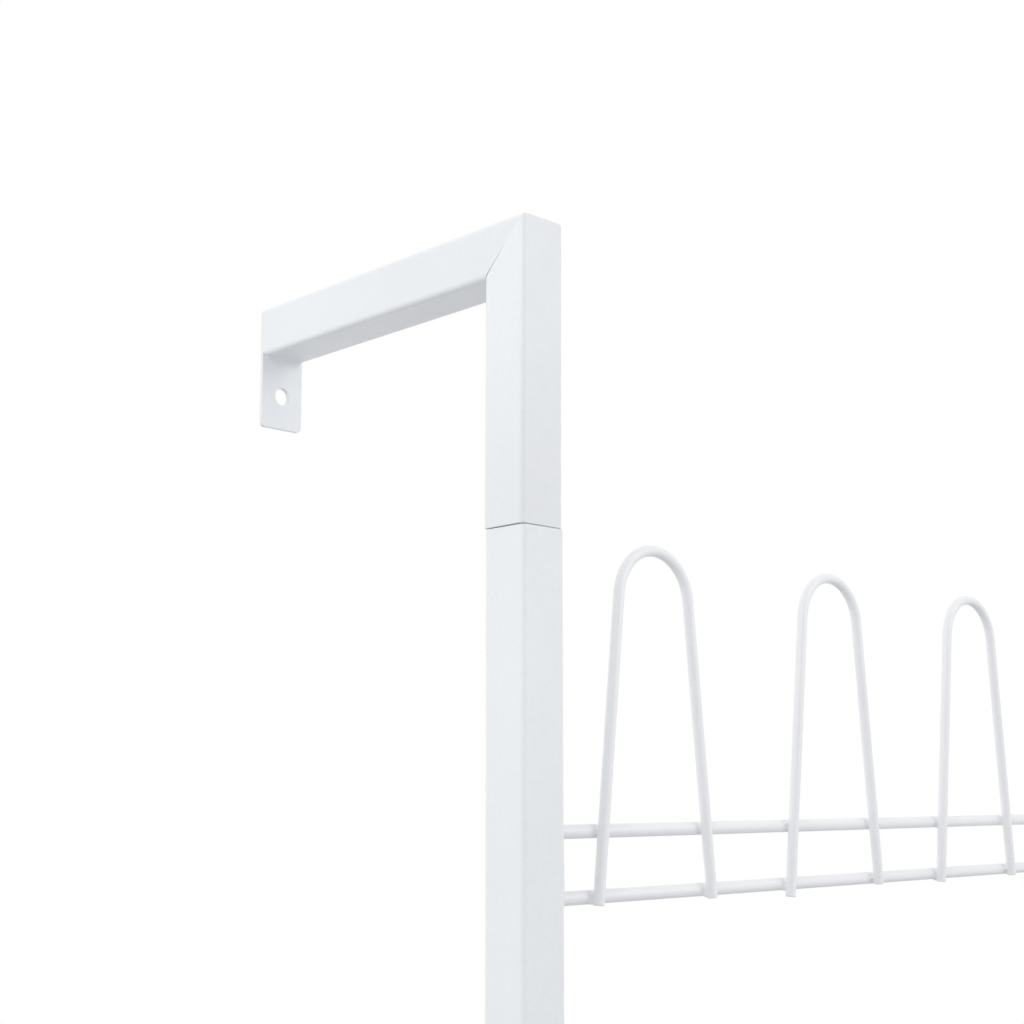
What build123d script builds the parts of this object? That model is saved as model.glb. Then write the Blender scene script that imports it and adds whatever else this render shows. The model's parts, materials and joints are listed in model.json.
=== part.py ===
from build123d import *
import math
import os

# Wall mounted drying rack: two side frames of square tube stand off the wall and carry three
# rows of wire loops. Each row is hinged on its lower rail and folds down to the front.
#
# Frame: millimetres, +Z up, the wall is the plane y = 0 and the rack's front faces -Y.
# The origin is the centre of the four wall screw holes.

os.makedirs("parts", exist_ok=True)

# ---- square tube ----
TUBE = 20.0
TUBE_WALL = 1.5
TUBE_CORNER = 2.0            # outside corner radius
TUBE_INNER_CORNER = 0.5

# ---- side frame ----
PROJECTION = 158.0           # wall face to the post's front face
HALF_HEIGHT = 425.0          # origin to the top of the upper arm
STUB_HEIGHT = 110.0          # seam to the top of the arm
PLATE_THICK = 2.0
TAB_LENGTH = 30.0            # wall plate beyond the arm
TAB_CORNER = 2.0
WALL_HOLE_R = 3.5
WALL_HOLE_OFFSET = 16.0      # from the arm's inner face to the hole

# ---- joining sleeve and its screws ----
SLEEVE = 16.6
SLEEVE_WALL = 1.5
SLEEVE_CORNER = 1.2
SLEEVE_HALF = 40.0           # length on each side of a seam
SLEEVE_SCREW_OFFSET = 22.0   # seam to screw
SCREW_R = 1.95               # M4 shank
SCREW_HOLE_R = 2.15          # clearance hole for it
TAPPED_R = 2.0               # tapped hole for it
PAN_HEAD_R = 3.7
PAN_HEAD_HEIGHT = 2.2
PAN_HEAD_ROUND = 1.0
SLEEVE_SCREW_LENGTH = 6.0    # under the head
SOCKET_R = 1.45              # hexagon recess, across corners / 2
SOCKET_DEPTH = 1.2

# ---- rows of loops ----
ROW_COUNT = 3
ROW_PITCH = 210.0
FIRST_ROW_DROP = 127.5       # upper seam to the first row's lower rail
RAIL_R = 2.5
RAIL_SPACING = 23.0          # lower rail to upper rail
WIRE_R = 2.1
LOOP_COUNT = 6
LOOP_PITCH = 112.0
LOOP_MARGIN = 53.0           # post's inner face to the first loop's centre
LOOP_HEIGHT = 126.0          # lower rail to the top of the loop, on centre lines
LOOP_BASE = 62.0             # between the legs' centre lines at the lower rail
LOOP_BEND_R = 19.5
LEG_TAIL = 4.0               # leg's end below the lower rail's centre

# ---- hinge ----
RAIL_END = 9.0               # lower rail's end inside the post
BUSH_R = 3.48
BUSH_HOLE_R = 3.5
BUSH_BORE_R = 2.55
BUSH_FLANGE_R = 5.0
BUSH_FLANGE = 1.2
BUSH_DEPTH = 4.5
HINGE_PLATE = 2.0
HINGE_PLATE_GAP = 1.5        # post's inner face to the hinge plate
HINGE_EYE_R = 6.0            # metal round the lower rail
HINGE_TOP_R = 5.5            # metal round the upper rail
HINGE_LOBE_R = 5.0           # metal round the slot's rear end
WELD_FIT = 0.02
STOP_RADIUS = 10.0           # lower rail to the stop screw
SLOT_HALF_WIDTH = 2.2
FOLD_ANGLE = 90.0
STOP_HEAD_R = 3.5
STOP_HEAD_HEIGHT = 2.0
STOP_HEAD_GAP = 0.3          # hinge plate to the screw's head
STOP_SCREW_END = 8.0         # inside the post
NUT_R = 2.95
NUT_HOLE_R = 3.0
NUT_FLANGE_R = 4.25
NUT_FLANGE = 0.8
NUT_DEPTH = 9.0

# ---- worked out from them ----
CLEAR_WIDTH = (LOOP_COUNT - 1) * LOOP_PITCH + 2 * LOOP_MARGIN
POST_X = CLEAR_WIDTH / 2 + TUBE / 2
POST_Y = -(PROJECTION - TUBE / 2)
FRONT_Y = -PROJECTION
BACK_Y = POST_Y + TUBE / 2
SEAM_Z = HALF_HEIGHT - STUB_HEIGHT
ARM_Z = HALF_HEIGHT - TUBE / 2
WALL_HOLE_Z = HALF_HEIGHT - TUBE - WALL_HOLE_OFFSET
ROW_Z = [SEAM_Z - FIRST_ROW_DROP - i * ROW_PITCH for i in range(ROW_COUNT)]
LOOP_Y = POST_Y - RAIL_R - WIRE_R
OVERCUT = 1.0

SIDES = {"left": -1, "right": 1}
LEVELS = {"upper": 1, "lower": -1}


def tube_profile(size, wall, corner, inner_corner):
    """Cross-section of a square tube, centred."""
    inner = size - 2 * wall
    return RectangleRounded(size, size, corner) - RectangleRounded(inner, inner, inner_corner)


def upright_tube(x, z_low, z_high, profile):
    """Vertical length of tube on a post's axis."""
    return extrude(Plane.XY.offset(z_low) * Pos(x, POST_Y) * profile, z_high - z_low)


def inward_x(side, depth):
    """X of a plane that lies a depth from a post's inner face, towards the rack's middle."""
    return side * (CLEAR_WIDTH / 2 - depth)


def cross_rod(side, depth_a, depth_b, y, z, radius):
    """Round bar along X between two depths from a post's inner face."""
    low, high = sorted((inward_x(side, depth_a), inward_x(side, depth_b)))
    return extrude(Plane(origin=(low, y, z), x_dir=(0, 1, 0), z_dir=(1, 0, 0)) * Circle(radius), high - low)


def back_rod(x, y_low, y_high, z, radius):
    """Round bar along Y."""
    return extrude(Plane(origin=(x, y_low, z), x_dir=(1, 0, 0), z_dir=(0, 1, 0)) * Circle(radius), y_high - y_low)


def mitre_plane(level):
    """Plane at 45 degrees through the outer front corner of an arm and its stub."""
    return Plane(origin=(0, FRONT_Y, level * HALF_HEIGHT), x_dir=(1, 0, 0), z_dir=(0, 1, level))


def stub(side, level):
    """End length of a post, mitred where the arm meets it, with its sleeve screw hole."""
    profile = tube_profile(TUBE, TUBE_WALL, TUBE_CORNER, TUBE_INNER_CORNER)
    low, high = sorted((level * SEAM_Z, level * HALF_HEIGHT))
    body = split(upright_tube(side * POST_X, low, high, profile), mitre_plane(level), keep=Keep.BOTTOM)
    return body - sleeve_screw_hole(side, level * (SEAM_Z + SLEEVE_SCREW_OFFSET), SCREW_HOLE_R)


def arm(side, level):
    """Arm from the wall plate to the mitre."""
    profile = tube_profile(TUBE, TUBE_WALL, TUBE_CORNER, TUBE_INNER_CORNER)
    start = Plane(origin=(side * POST_X, -PLATE_THICK, level * ARM_Z), x_dir=(1, 0, 0), z_dir=(0, -1, 0))
    return split(extrude(start * profile, PROJECTION - PLATE_THICK), mitre_plane(level), keep=Keep.TOP)


def wall_plate(side, level):
    """Plate that closes the arm's wall end and carries one screw hole in its tab."""
    height = TUBE + TAB_LENGTH
    centre_z = level * (HALF_HEIGHT - height / 2)
    face = Plane(origin=(side * POST_X, 0, centre_z), x_dir=(1, 0, 0), z_dir=(0, -1, 0))
    plate = extrude(face * RectangleRounded(TUBE, height, TAB_CORNER), PLATE_THICK)
    return plate - back_rod(side * POST_X, -PLATE_THICK - OVERCUT, OVERCUT, level * WALL_HOLE_Z, WALL_HOLE_R)


def sleeve_screw_hole(side, z, radius):
    """Cutter through the back wall of a post and of the sleeve inside it."""
    return back_rod(side * POST_X, BACK_Y - SLEEVE_SCREW_LENGTH, BACK_Y + OVERCUT, z, radius)


def main_post(side):
    """Middle length of a post, drilled for the bushes, the rivet nuts and the sleeve screws."""
    profile = tube_profile(TUBE, TUBE_WALL, TUBE_CORNER, TUBE_INNER_CORNER)
    body = upright_tube(side * POST_X, -SEAM_Z, SEAM_Z, profile)
    for level in LEVELS.values():
        body -= sleeve_screw_hole(side, level * (SEAM_Z - SLEEVE_SCREW_OFFSET), SCREW_HOLE_R)
    for z in ROW_Z:
        body -= cross_rod(side, -TUBE_WALL - OVERCUT, OVERCUT, POST_Y, z, BUSH_HOLE_R)
        body -= cross_rod(side, -TUBE_WALL - OVERCUT, OVERCUT, POST_Y, z + STOP_RADIUS, NUT_HOLE_R)
    return body


def sleeve(side, level):
    """Square sleeve that joins a stub to the main post, tapped for its two screws."""
    profile = tube_profile(SLEEVE, SLEEVE_WALL, SLEEVE_CORNER, TUBE_INNER_CORNER)
    middle = level * SEAM_Z
    body = upright_tube(side * POST_X, middle - SLEEVE_HALF, middle + SLEEVE_HALF, profile)
    for offset in (-SLEEVE_SCREW_OFFSET, SLEEVE_SCREW_OFFSET):
        body -= sleeve_screw_hole(side, middle + offset, TAPPED_R)
    return body


def pan_head_screw(base, shank_length, head_r, head_height):
    """Screw whose head sits on the base plane and whose shank runs the other way."""
    head = extrude(base * Circle(head_r), head_height)
    top_edge = head.edges().sort_by(Axis(base.origin, base.z_dir))[-1]
    head = fillet(top_edge, min(PAN_HEAD_ROUND, head_height / 2))
    recess = extrude(base.offset(head_height - SOCKET_DEPTH) * RegularPolygon(SOCKET_R, 6), SOCKET_DEPTH + OVERCUT)
    shank = extrude(base * Circle(SCREW_R), -shank_length)
    return head - recess + shank


def sleeve_screws():
    """All sleeve screws, in the posts' back faces."""
    screws = []
    for side in SIDES.values():
        for level in LEVELS.values():
            for offset in (-SLEEVE_SCREW_OFFSET, SLEEVE_SCREW_OFFSET):
                origin = (side * POST_X, BACK_Y, level * SEAM_Z + offset)
                base = Plane(origin=origin, x_dir=(1, 0, 0), z_dir=(0, 1, 0))
                screws.append(pan_head_screw(base, SLEEVE_SCREW_LENGTH, PAN_HEAD_R, PAN_HEAD_HEIGHT))
    return screws


def pivot_bush(side, z):
    """Flanged bush that a lower rail's end turns in."""
    body = cross_rod(side, -BUSH_DEPTH, 0, POST_Y, z, BUSH_R)
    body += cross_rod(side, 0, BUSH_FLANGE, POST_Y, z, BUSH_FLANGE_R)
    return body - cross_rod(side, -BUSH_DEPTH - OVERCUT, BUSH_FLANGE + OVERCUT, POST_Y, z, BUSH_BORE_R)


def rivet_nut(side, z):
    """Threaded insert in the post's inner wall for a stop screw."""
    body = cross_rod(side, -NUT_DEPTH, 0, POST_Y, z, NUT_R)
    body += cross_rod(side, 0, NUT_FLANGE, POST_Y, z, NUT_FLANGE_R)
    return body - cross_rod(side, -NUT_DEPTH - OVERCUT, NUT_FLANGE + OVERCUT, POST_Y, z, TAPPED_R)


def stop_screw(side, z):
    """Screw that runs in a hinge plate's arc slot and stops the row at both ends of its travel."""
    head_depth = HINGE_PLATE_GAP + HINGE_PLATE + STOP_HEAD_GAP
    origin = (inward_x(side, head_depth), POST_Y, z)
    base = Plane(origin=origin, x_dir=(0, 1, 0), z_dir=(-side, 0, 0))
    return pan_head_screw(base, head_depth + STOP_SCREW_END, STOP_HEAD_R, STOP_HEAD_HEIGHT)


def hinge_plate_outline():
    """Hinge plate with the lower rail at the origin: x is towards the wall, y is up."""
    circles = [
        Circle(HINGE_EYE_R),
        Pos(0, RAIL_SPACING) * Circle(HINGE_TOP_R),
        Pos(STOP_RADIUS, 0) * Circle(HINGE_LOBE_R),
    ]
    outline = make_hull(Sketch(children=circles).edges())
    slot = SlotArc(CenterArc((0, 0), STOP_RADIUS, 90 - FOLD_ANGLE, FOLD_ANGLE), 2 * SLOT_HALF_WIDTH)
    rail_hole = Circle(RAIL_R + WELD_FIT)
    return outline - slot - rail_hole - Pos(0, RAIL_SPACING) * rail_hole


def hinge_plate(side, z):
    """Plate welded across the ends of a row's two rails, beside the post."""
    far = inward_x(side, HINGE_PLATE_GAP)
    near = inward_x(side, HINGE_PLATE_GAP + HINGE_PLATE)
    plane = Plane(origin=(min(far, near), POST_Y, z), x_dir=(0, 1, 0), z_dir=(1, 0, 0))
    return extrude(plane * hinge_plate_outline(), HINGE_PLATE)


def lower_rail(z):
    """Rail that carries the loops and turns in the posts' bushes."""
    half = CLEAR_WIDTH / 2 + RAIL_END
    rail_start = Plane(origin=(-half, POST_Y, z), x_dir=(0, 1, 0), z_dir=(1, 0, 0))
    return extrude(rail_start * Circle(RAIL_R), 2 * half)


def upper_rail(z):
    """Rail between the hinge plates, above the lower rail."""
    half = CLEAR_WIDTH / 2 - HINGE_PLATE_GAP
    rail_start = Plane(origin=(-half, POST_Y, z + RAIL_SPACING), x_dir=(0, 1, 0), z_dir=(1, 0, 0))
    return extrude(rail_start * Circle(RAIL_R), 2 * half)


def wire_loop(centre_x, z):
    """Inverted U of round wire: two straight splayed legs, tangent to a half-round top."""
    bend_z = LOOP_HEIGHT - LOOP_BEND_R
    half_base = LOOP_BASE / 2
    # The legs lean in by the angle at which they meet the bend without a corner.
    reach = math.hypot(half_base, bend_z)
    lean = math.atan2(half_base, bend_z) - math.asin(LOOP_BEND_R / reach)
    tangent_x = LOOP_BEND_R * math.cos(lean)
    tangent_z = bend_z + LOOP_BEND_R * math.sin(lean)
    tail_x = half_base + LEG_TAIL * math.tan(lean)

    def at(x, height):
        return (centre_x + x, LOOP_Y, z + height)

    left_leg = Line(at(-tail_x, -LEG_TAIL), at(-tangent_x, tangent_z))
    top = ThreePointArc(at(-tangent_x, tangent_z), at(0, LOOP_HEIGHT), at(tangent_x, tangent_z))
    right_leg = Line(at(tangent_x, tangent_z), at(tail_x, -LEG_TAIL))
    path = Wire([left_leg.edge(), top.edge(), right_leg.edge()])
    section = Plane(origin=at(-tail_x, -LEG_TAIL), z_dir=left_leg % 0) * Circle(WIRE_R)
    return sweep(section, path=path)


def save(name, solids):
    """Write one node: a single solid or a group of separate ones."""
    shape = solids if not isinstance(solids, list) else Compound(children=solids)
    export_step(shape, f"parts/{name}.step")


for side_name, side in SIDES.items():
    save(f"main_post_{side_name}", main_post(side))
    for level_name, level in LEVELS.items():
        save(f"{level_name}_arm_{side_name}", arm(side, level))
        save(f"{level_name}_stub_{side_name}", stub(side, level))
        save(f"{level_name}_wall_plate_{side_name}", wall_plate(side, level))
        save(f"{level_name}_sleeve_{side_name}", sleeve(side, level))

save("sleeve_screws", sleeve_screws())
save("pivot_bushes", [pivot_bush(side, z) for side in SIDES.values() for z in ROW_Z])
save("rivet_nuts", [rivet_nut(side, z + STOP_RADIUS) for side in SIDES.values() for z in ROW_Z])
save("stop_screws", [stop_screw(side, z + STOP_RADIUS) for side in SIDES.values() for z in ROW_Z])

for row, z in enumerate(ROW_Z, start=1):
    save(f"row_{row}_lower_rail", lower_rail(z))
    save(f"row_{row}_upper_rail", upper_rail(z))
    for side_name, side in SIDES.items():
        save(f"row_{row}_hinge_plate_{side_name}", hinge_plate(side, z))
    for loop in range(LOOP_COUNT):
        centre_x = (loop - (LOOP_COUNT - 1) / 2) * LOOP_PITCH
        save(f"row_{row}_loop_{loop + 1}", wire_loop(centre_x, z))
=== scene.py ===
"""Looks for a wall mounted drying rack whose rows of wire loops fold down to the front.

The rack is white powder-coated steel: two side frames of mitred square tube, and three rows of
inverted-U wire loops welded to pairs of round rails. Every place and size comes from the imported
frame. Lengths are metres, +Z is up and the wall is the plane y = 0.
"""

import json
import logging
import math
import random
from dataclasses import dataclass
from enum import Enum
from typing import Callable, Sequence

import bmesh
import bpy
from mathutils import Euler, Matrix, Vector, noise

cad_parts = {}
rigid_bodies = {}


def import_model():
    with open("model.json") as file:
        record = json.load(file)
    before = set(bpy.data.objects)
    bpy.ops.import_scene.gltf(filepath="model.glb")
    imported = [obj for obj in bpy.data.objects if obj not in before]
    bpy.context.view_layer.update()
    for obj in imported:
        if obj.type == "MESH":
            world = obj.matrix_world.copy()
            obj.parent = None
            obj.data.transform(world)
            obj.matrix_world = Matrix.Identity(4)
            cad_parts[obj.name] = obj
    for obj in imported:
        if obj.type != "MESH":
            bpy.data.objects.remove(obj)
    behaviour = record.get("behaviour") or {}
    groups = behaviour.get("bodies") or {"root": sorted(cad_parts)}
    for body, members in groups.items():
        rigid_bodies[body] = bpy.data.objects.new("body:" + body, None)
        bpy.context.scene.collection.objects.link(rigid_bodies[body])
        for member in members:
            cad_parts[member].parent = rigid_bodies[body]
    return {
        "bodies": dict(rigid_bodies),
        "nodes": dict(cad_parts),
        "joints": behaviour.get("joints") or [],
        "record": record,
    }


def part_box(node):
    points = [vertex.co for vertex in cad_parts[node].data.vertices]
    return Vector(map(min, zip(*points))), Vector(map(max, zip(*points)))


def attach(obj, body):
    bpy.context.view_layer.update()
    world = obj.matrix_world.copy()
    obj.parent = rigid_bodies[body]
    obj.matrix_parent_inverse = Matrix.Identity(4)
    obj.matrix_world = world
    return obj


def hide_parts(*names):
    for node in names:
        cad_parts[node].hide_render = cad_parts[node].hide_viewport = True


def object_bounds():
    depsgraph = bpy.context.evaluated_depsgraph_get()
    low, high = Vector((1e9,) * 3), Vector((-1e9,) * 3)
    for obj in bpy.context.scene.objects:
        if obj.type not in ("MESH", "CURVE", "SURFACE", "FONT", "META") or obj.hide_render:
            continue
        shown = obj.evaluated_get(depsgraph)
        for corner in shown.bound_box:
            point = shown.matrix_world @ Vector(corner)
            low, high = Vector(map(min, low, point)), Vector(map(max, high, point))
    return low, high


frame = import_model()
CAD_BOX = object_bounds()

LOG = logging.getLogger("drying_rack")
MM = 0.001

# Edges bent more than this are shaded sharp.
SHARP_ANGLE = math.radians(35)

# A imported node's mesh: points closer than this are one, faces bent less than the first angle are
# one flat face, and edges bent more than the second are rounded.
SAME_POINT = 0.001 * MM
FLAT_ANGLE = math.radians(1)
EDGE_ANGLE = math.radians(40)

# Different weld meshes made for each crossing of a loop with a rail.
WELD_KINDS = 3

Colour = tuple[float, float, float]
Drill = tuple[Vector, Vector, float]
Point = tuple[float, float]
Ring = list[Vector]
Socket = bpy.types.NodeSocket


class Side(Enum):
    """The two side frames, with the sign of their x."""

    LEFT = -1
    RIGHT = 1

    @property
    def word(self) -> str:
        """Name as the frame's nodes spell it."""
        return self.name.lower()


class Level(Enum):
    """The two ends of a side frame, with the sign of their z."""

    UPPER = 1
    LOWER = -1

    @property
    def word(self) -> str:
        """Name as the frame's nodes spell it."""
        return self.name.lower()


class Cut(Enum):
    """How the end of a square tube is cut."""

    SQUARE = "square"
    MITRE = "mitre"


class Slot(Enum):
    """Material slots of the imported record."""

    POWDER_COAT = "powder_coat"
    BARE_STEEL = "bare_steel"
    ZINC_STEEL = "zinc_steel"
    NYLON = "nylon"


# ---------------------------------------------------------------------------------------------
# Finishes
# ---------------------------------------------------------------------------------------------


class NodeBoard:
    """A node tree that is being wired."""

    def __init__(self, tree: bpy.types.NodeTree) -> None:
        """Start from an empty tree.

        Args:
            tree: the tree to clear and fill.
        """
        tree.nodes.clear()
        self.tree = tree

    def add(self, kind: str, **settings: object) -> bpy.types.Node:
        """Add a node.

        Args:
            kind: Blender's name of the node's type.
            settings: attributes to set on the node.

        Returns:
            The new node.
        """
        node = self.tree.nodes.new(kind)
        for name, value in settings.items():
            setattr(node, name, value)
        return node

    def join(self, source: Socket, target: Socket) -> None:
        """Link an output to an input."""
        self.tree.links.new(source, target)

    def math(self, operation: str, *inputs: object) -> Socket:
        """Add a math node.

        Args:
            operation: Blender's name of the operation.
            inputs: numbers or output sockets, in order.

        Returns:
            The node's output socket.
        """
        node = self.add("ShaderNodeMath", operation=operation)
        for socket, value in zip(node.inputs, inputs):
            if isinstance(value, Socket):
                self.join(value, socket)
            else:
                socket.default_value = value
        return node.outputs[0]

    def noise(self, place: Socket, per_metre: float, detail: float) -> Socket:
        """Add a noise texture.

        Args:
            place: coordinates in metres.
            per_metre: noise cells in a metre.
            detail: number of finer octaves.

        Returns:
            The noise's value, about 0.5 on average.
        """
        node = self.add("ShaderNodeTexNoise")
        node.inputs["Scale"].default_value = per_metre
        node.inputs["Detail"].default_value = detail
        self.join(place, node.inputs["Vector"])
        return node.outputs["Fac"]

    def spread(self, value: Socket, low: float, high: float) -> Socket:
        """Stretch the middle of a noise over a range.

        Args:
            value: a noise's value.
            low: result where the noise is low.
            high: result where the noise is high.

        Returns:
            The remapped value.
        """
        node = self.add("ShaderNodeMapRange")
        node.inputs["From Min"].default_value = 0.3
        node.inputs["From Max"].default_value = 0.7
        node.inputs["To Min"].default_value = low
        node.inputs["To Max"].default_value = high
        self.join(value, node.inputs["Value"])
        return node.outputs["Result"]

    def tint(self, factor: Socket, first: Sequence[float], second: Sequence[float]) -> Socket:
        """Mix two colours.

        Args:
            factor: 0 for the first colour and 1 for the second.
            first: linear red, green and blue.
            second: linear red, green and blue.

        Returns:
            The mixed colour.
        """
        node = self.add("ShaderNodeMix", data_type="RGBA")
        node.inputs[6].default_value = (*first, 1.0)
        node.inputs[7].default_value = (*second, 1.0)
        self.join(factor, node.inputs[0])
        return node.outputs[2]

    def bump(
        self,
        height: Socket,
        strength: float,
        depth: float,
        under: Socket | None = None,
    ) -> Socket:
        """Add a bump.

        Args:
            height: the relief, from 0 to 1.
            strength: how much of the bump to use.
            depth: the relief's full height in metres.
            under: a bump's normal to build on.

        Returns:
            The bumped normal.
        """
        node = self.add("ShaderNodeBump")
        node.inputs["Strength"].default_value = strength
        node.inputs["Distance"].default_value = depth
        self.join(height, node.inputs["Height"])
        if under is not None:
            self.join(under, node.inputs["Normal"])
        return node.outputs["Normal"]


@dataclass(frozen=True)
class Finish:
    """What every finish has: a name, its slot in the record and how it is made."""

    name: str
    slot: Slot

    def dress(self, board: NodeBoard, shader: bpy.types.Node, place: Socket) -> None:
        """Wire the finish into a Principled shader.

        Args:
            board: the material's node tree.
            shader: the Principled shader.
            place: object coordinates in metres.
        """
        raise NotImplementedError

    def make(self) -> bpy.types.Material:
        """Build the material, or find it if it is built already.

        Returns:
            The material.
        """
        found = bpy.data.materials.get(self.name)
        if found is not None:
            return found
        material = bpy.data.materials.new(self.name)
        material.use_nodes = True
        board = NodeBoard(material.node_tree)
        shader = board.add("ShaderNodeBsdfPrincipled")
        output = board.add("ShaderNodeOutputMaterial")
        board.join(shader.outputs["BSDF"], output.inputs["Surface"])
        self.dress(board, shader, board.add("ShaderNodeTexCoord").outputs["Object"])
        return material


@dataclass(frozen=True)
class PowderCoat(Finish):
    """Satin white powder coat: fine orange peel, a slow unevenness of gloss, a few nibs and painted shade
    in the peel's hollows.

    Attributes:
        thick: colour where the coat is thick.
        thin: colour where it is thin.
        cloud_per_metre: patches of thick and thin in a metre.
        gloss_low: least roughness.
        gloss_high: greatest roughness.
        peel_per_metre: orange peel's cells in a metre.
        peel_depth: its relief.
        peel_strength: share of that relief that is used.
        peel_shade: painted shade in the orange peel's hollows, as the share by which they are darkened.
        flow_per_metre: slow waves in a metre.
        flow_depth: their relief.
        flow_strength: share of that relief that is used.
        nib_per_metre: cells in a metre that may hold a nib.
        nib_patch_per_metre: patches with and without nibs in a metre.
        nib_where: how high the patches' noise must be for nibs to show.
        nib_size: radius of a nib, in cells.
        nib_depth: its height.
        nib_strength: share of that height that is used.
        refraction: the clear resin's index.
    """

    name: str = "white_powder_coat"
    slot: Slot = Slot.POWDER_COAT
    thick: Colour = (0.845, 0.873, 0.896)
    thin: Colour = (0.82, 0.842, 0.868)
    cloud_per_metre: float = 14.0
    gloss_low: float = 0.34
    gloss_high: float = 0.44
    peel_per_metre: float = 700.0
    peel_depth: float = 0.035 * MM
    peel_strength: float = 0.6
    # Painted shade: how much darker the orange peel's hollows are painted.
    peel_shade: float = 0.025
    flow_per_metre: float = 90.0
    flow_depth: float = 0.05 * MM
    flow_strength: float = 0.5
    nib_per_metre: float = 160.0
    nib_patch_per_metre: float = 23.0
    nib_where: float = 0.6
    nib_size: float = 0.07
    nib_depth: float = 0.12 * MM
    nib_strength: float = 0.8
    refraction: float = 1.5

    def dress(self, board: NodeBoard, shader: bpy.types.Node, place: Socket) -> None:
        """Wire the coat's colour, gloss and relief.

        Args:
            board: the material's node tree.
            shader: the Principled shader.
            place: object coordinates in metres.
        """
        cloud = board.noise(place, self.cloud_per_metre, detail=3.0)
        even = board.tint(board.spread(cloud, 0.0, 1.0), self.thick, self.thin)
        peel = board.noise(place, self.peel_per_metre, detail=2.5)
        # Painted shade: the base colour is darkened in the orange peel's hollows.
        painted_hollow_shade = board.add("ShaderNodeMix", data_type="RGBA", blend_type="MULTIPLY")
        painted_hollow_shade.inputs[0].default_value = 1.0
        board.join(even, painted_hollow_shade.inputs[6])
        board.join(board.spread(peel, 1.0 - self.peel_shade, 1.0), painted_hollow_shade.inputs[7])
        board.join(painted_hollow_shade.outputs[2], shader.inputs["Base Color"])
        flow = board.noise(place, self.flow_per_metre, detail=2.0)
        board.join(board.spread(flow, self.gloss_low, self.gloss_high), shader.inputs["Roughness"])
        shader.inputs["IOR"].default_value = self.refraction
        nibs = board.add("ShaderNodeTexVoronoi")
        nibs.inputs["Scale"].default_value = self.nib_per_metre
        board.join(place, nibs.inputs["Vector"])
        patch = board.noise(place, self.nib_patch_per_metre, detail=1.0)
        rare = board.math("GREATER_THAN", patch, self.nib_where)
        dome = board.math("SUBTRACT", 1.0, board.math("DIVIDE", nibs.outputs["Distance"], self.nib_size))
        nib = board.math("MULTIPLY", board.math("MAXIMUM", dome, 0.0), rare)
        slow = board.bump(flow, self.flow_strength, self.flow_depth)
        fine = board.bump(peel, self.peel_strength, self.peel_depth, slow)
        board.join(board.bump(nib, self.nib_strength, self.nib_depth, fine), shader.inputs["Normal"])


@dataclass(frozen=True)
class BareSteel(Finish):
    """Drawn steel tube with faint lengthwise marks and darker mill scale.

    Attributes:
        bright: colour of the clean steel.
        scale: colour of the mill scale.
        scale_cover: greatest share of scale.
        patch_per_metre: patches of scale in a metre.
        marks_per_metre: drawing marks in a metre, along x, y and z.
        gloss_low: least roughness.
        gloss_high: greatest roughness.
        mark_depth: relief of the marks.
        mark_strength: share of that relief that is used.
    """

    name: str = "drawn_steel"
    slot: Slot = Slot.BARE_STEEL
    bright: Colour = (0.50, 0.51, 0.53)
    scale: Colour = (0.22, 0.22, 0.23)
    scale_cover: float = 0.7
    patch_per_metre: float = 120.0
    marks_per_metre: tuple[float, float, float] = (900.0, 900.0, 12.0)
    gloss_low: float = 0.28
    gloss_high: float = 0.5
    mark_depth: float = 0.02 * MM
    mark_strength: float = 0.4

    def dress(self, board: NodeBoard, shader: bpy.types.Node, place: Socket) -> None:
        """Wire the steel's colour, gloss and drawing marks.

        Args:
            board: the material's node tree.
            shader: the Principled shader.
            place: object coordinates in metres.
        """
        stretch = board.add("ShaderNodeMapping")
        stretch.inputs["Scale"].default_value = self.marks_per_metre
        board.join(place, stretch.inputs["Vector"])
        marks = board.noise(stretch.outputs["Vector"], 1.0, detail=2.0)
        patches = board.noise(place, self.patch_per_metre, detail=4.0)
        colour = board.tint(board.spread(patches, 0.0, self.scale_cover), self.bright, self.scale)
        board.join(colour, shader.inputs["Base Color"])
        board.join(board.spread(marks, self.gloss_low, self.gloss_high), shader.inputs["Roughness"])
        shader.inputs["Metallic"].default_value = 1.0
        board.join(board.bump(marks, self.mark_strength, self.mark_depth), shader.inputs["Normal"])


@dataclass(frozen=True)
class CloudedFinish(Finish):
    """A finish in two shades that run into each other, with a fine grain.

    Attributes:
        clear: colour of most of it.
        cloudy: colour where it is clouded.
        cloud_per_metre: clouds in a metre.
        cloud_detail: number of finer octaves in a cloud.
        gloss_low: least roughness.
        gloss_high: greatest roughness.
        grain_per_metre: cells of the grain in a metre.
        grain_depth: relief of the grain.
        grain_strength: share of that relief that is used.
    """

    clear: Colour
    cloudy: Colour
    cloud_per_metre: float
    cloud_detail: float
    gloss_low: float
    gloss_high: float
    grain_per_metre: float
    grain_depth: float
    grain_strength: float

    def dress(self, board: NodeBoard, shader: bpy.types.Node, place: Socket) -> None:
        """Wire the finish's colour, gloss and grain.

        Args:
            board: the material's node tree.
            shader: the Principled shader.
            place: object coordinates in metres.
        """
        cloud = board.noise(place, self.cloud_per_metre, self.cloud_detail)
        colour = board.tint(board.spread(cloud, 0.0, 1.0), self.clear, self.cloudy)
        board.join(colour, shader.inputs["Base Color"])
        board.join(board.spread(cloud, self.gloss_low, self.gloss_high), shader.inputs["Roughness"])
        grain = board.noise(place, self.grain_per_metre, detail=2.0)
        board.join(board.bump(grain, self.grain_strength, self.grain_depth), shader.inputs["Normal"])


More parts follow.
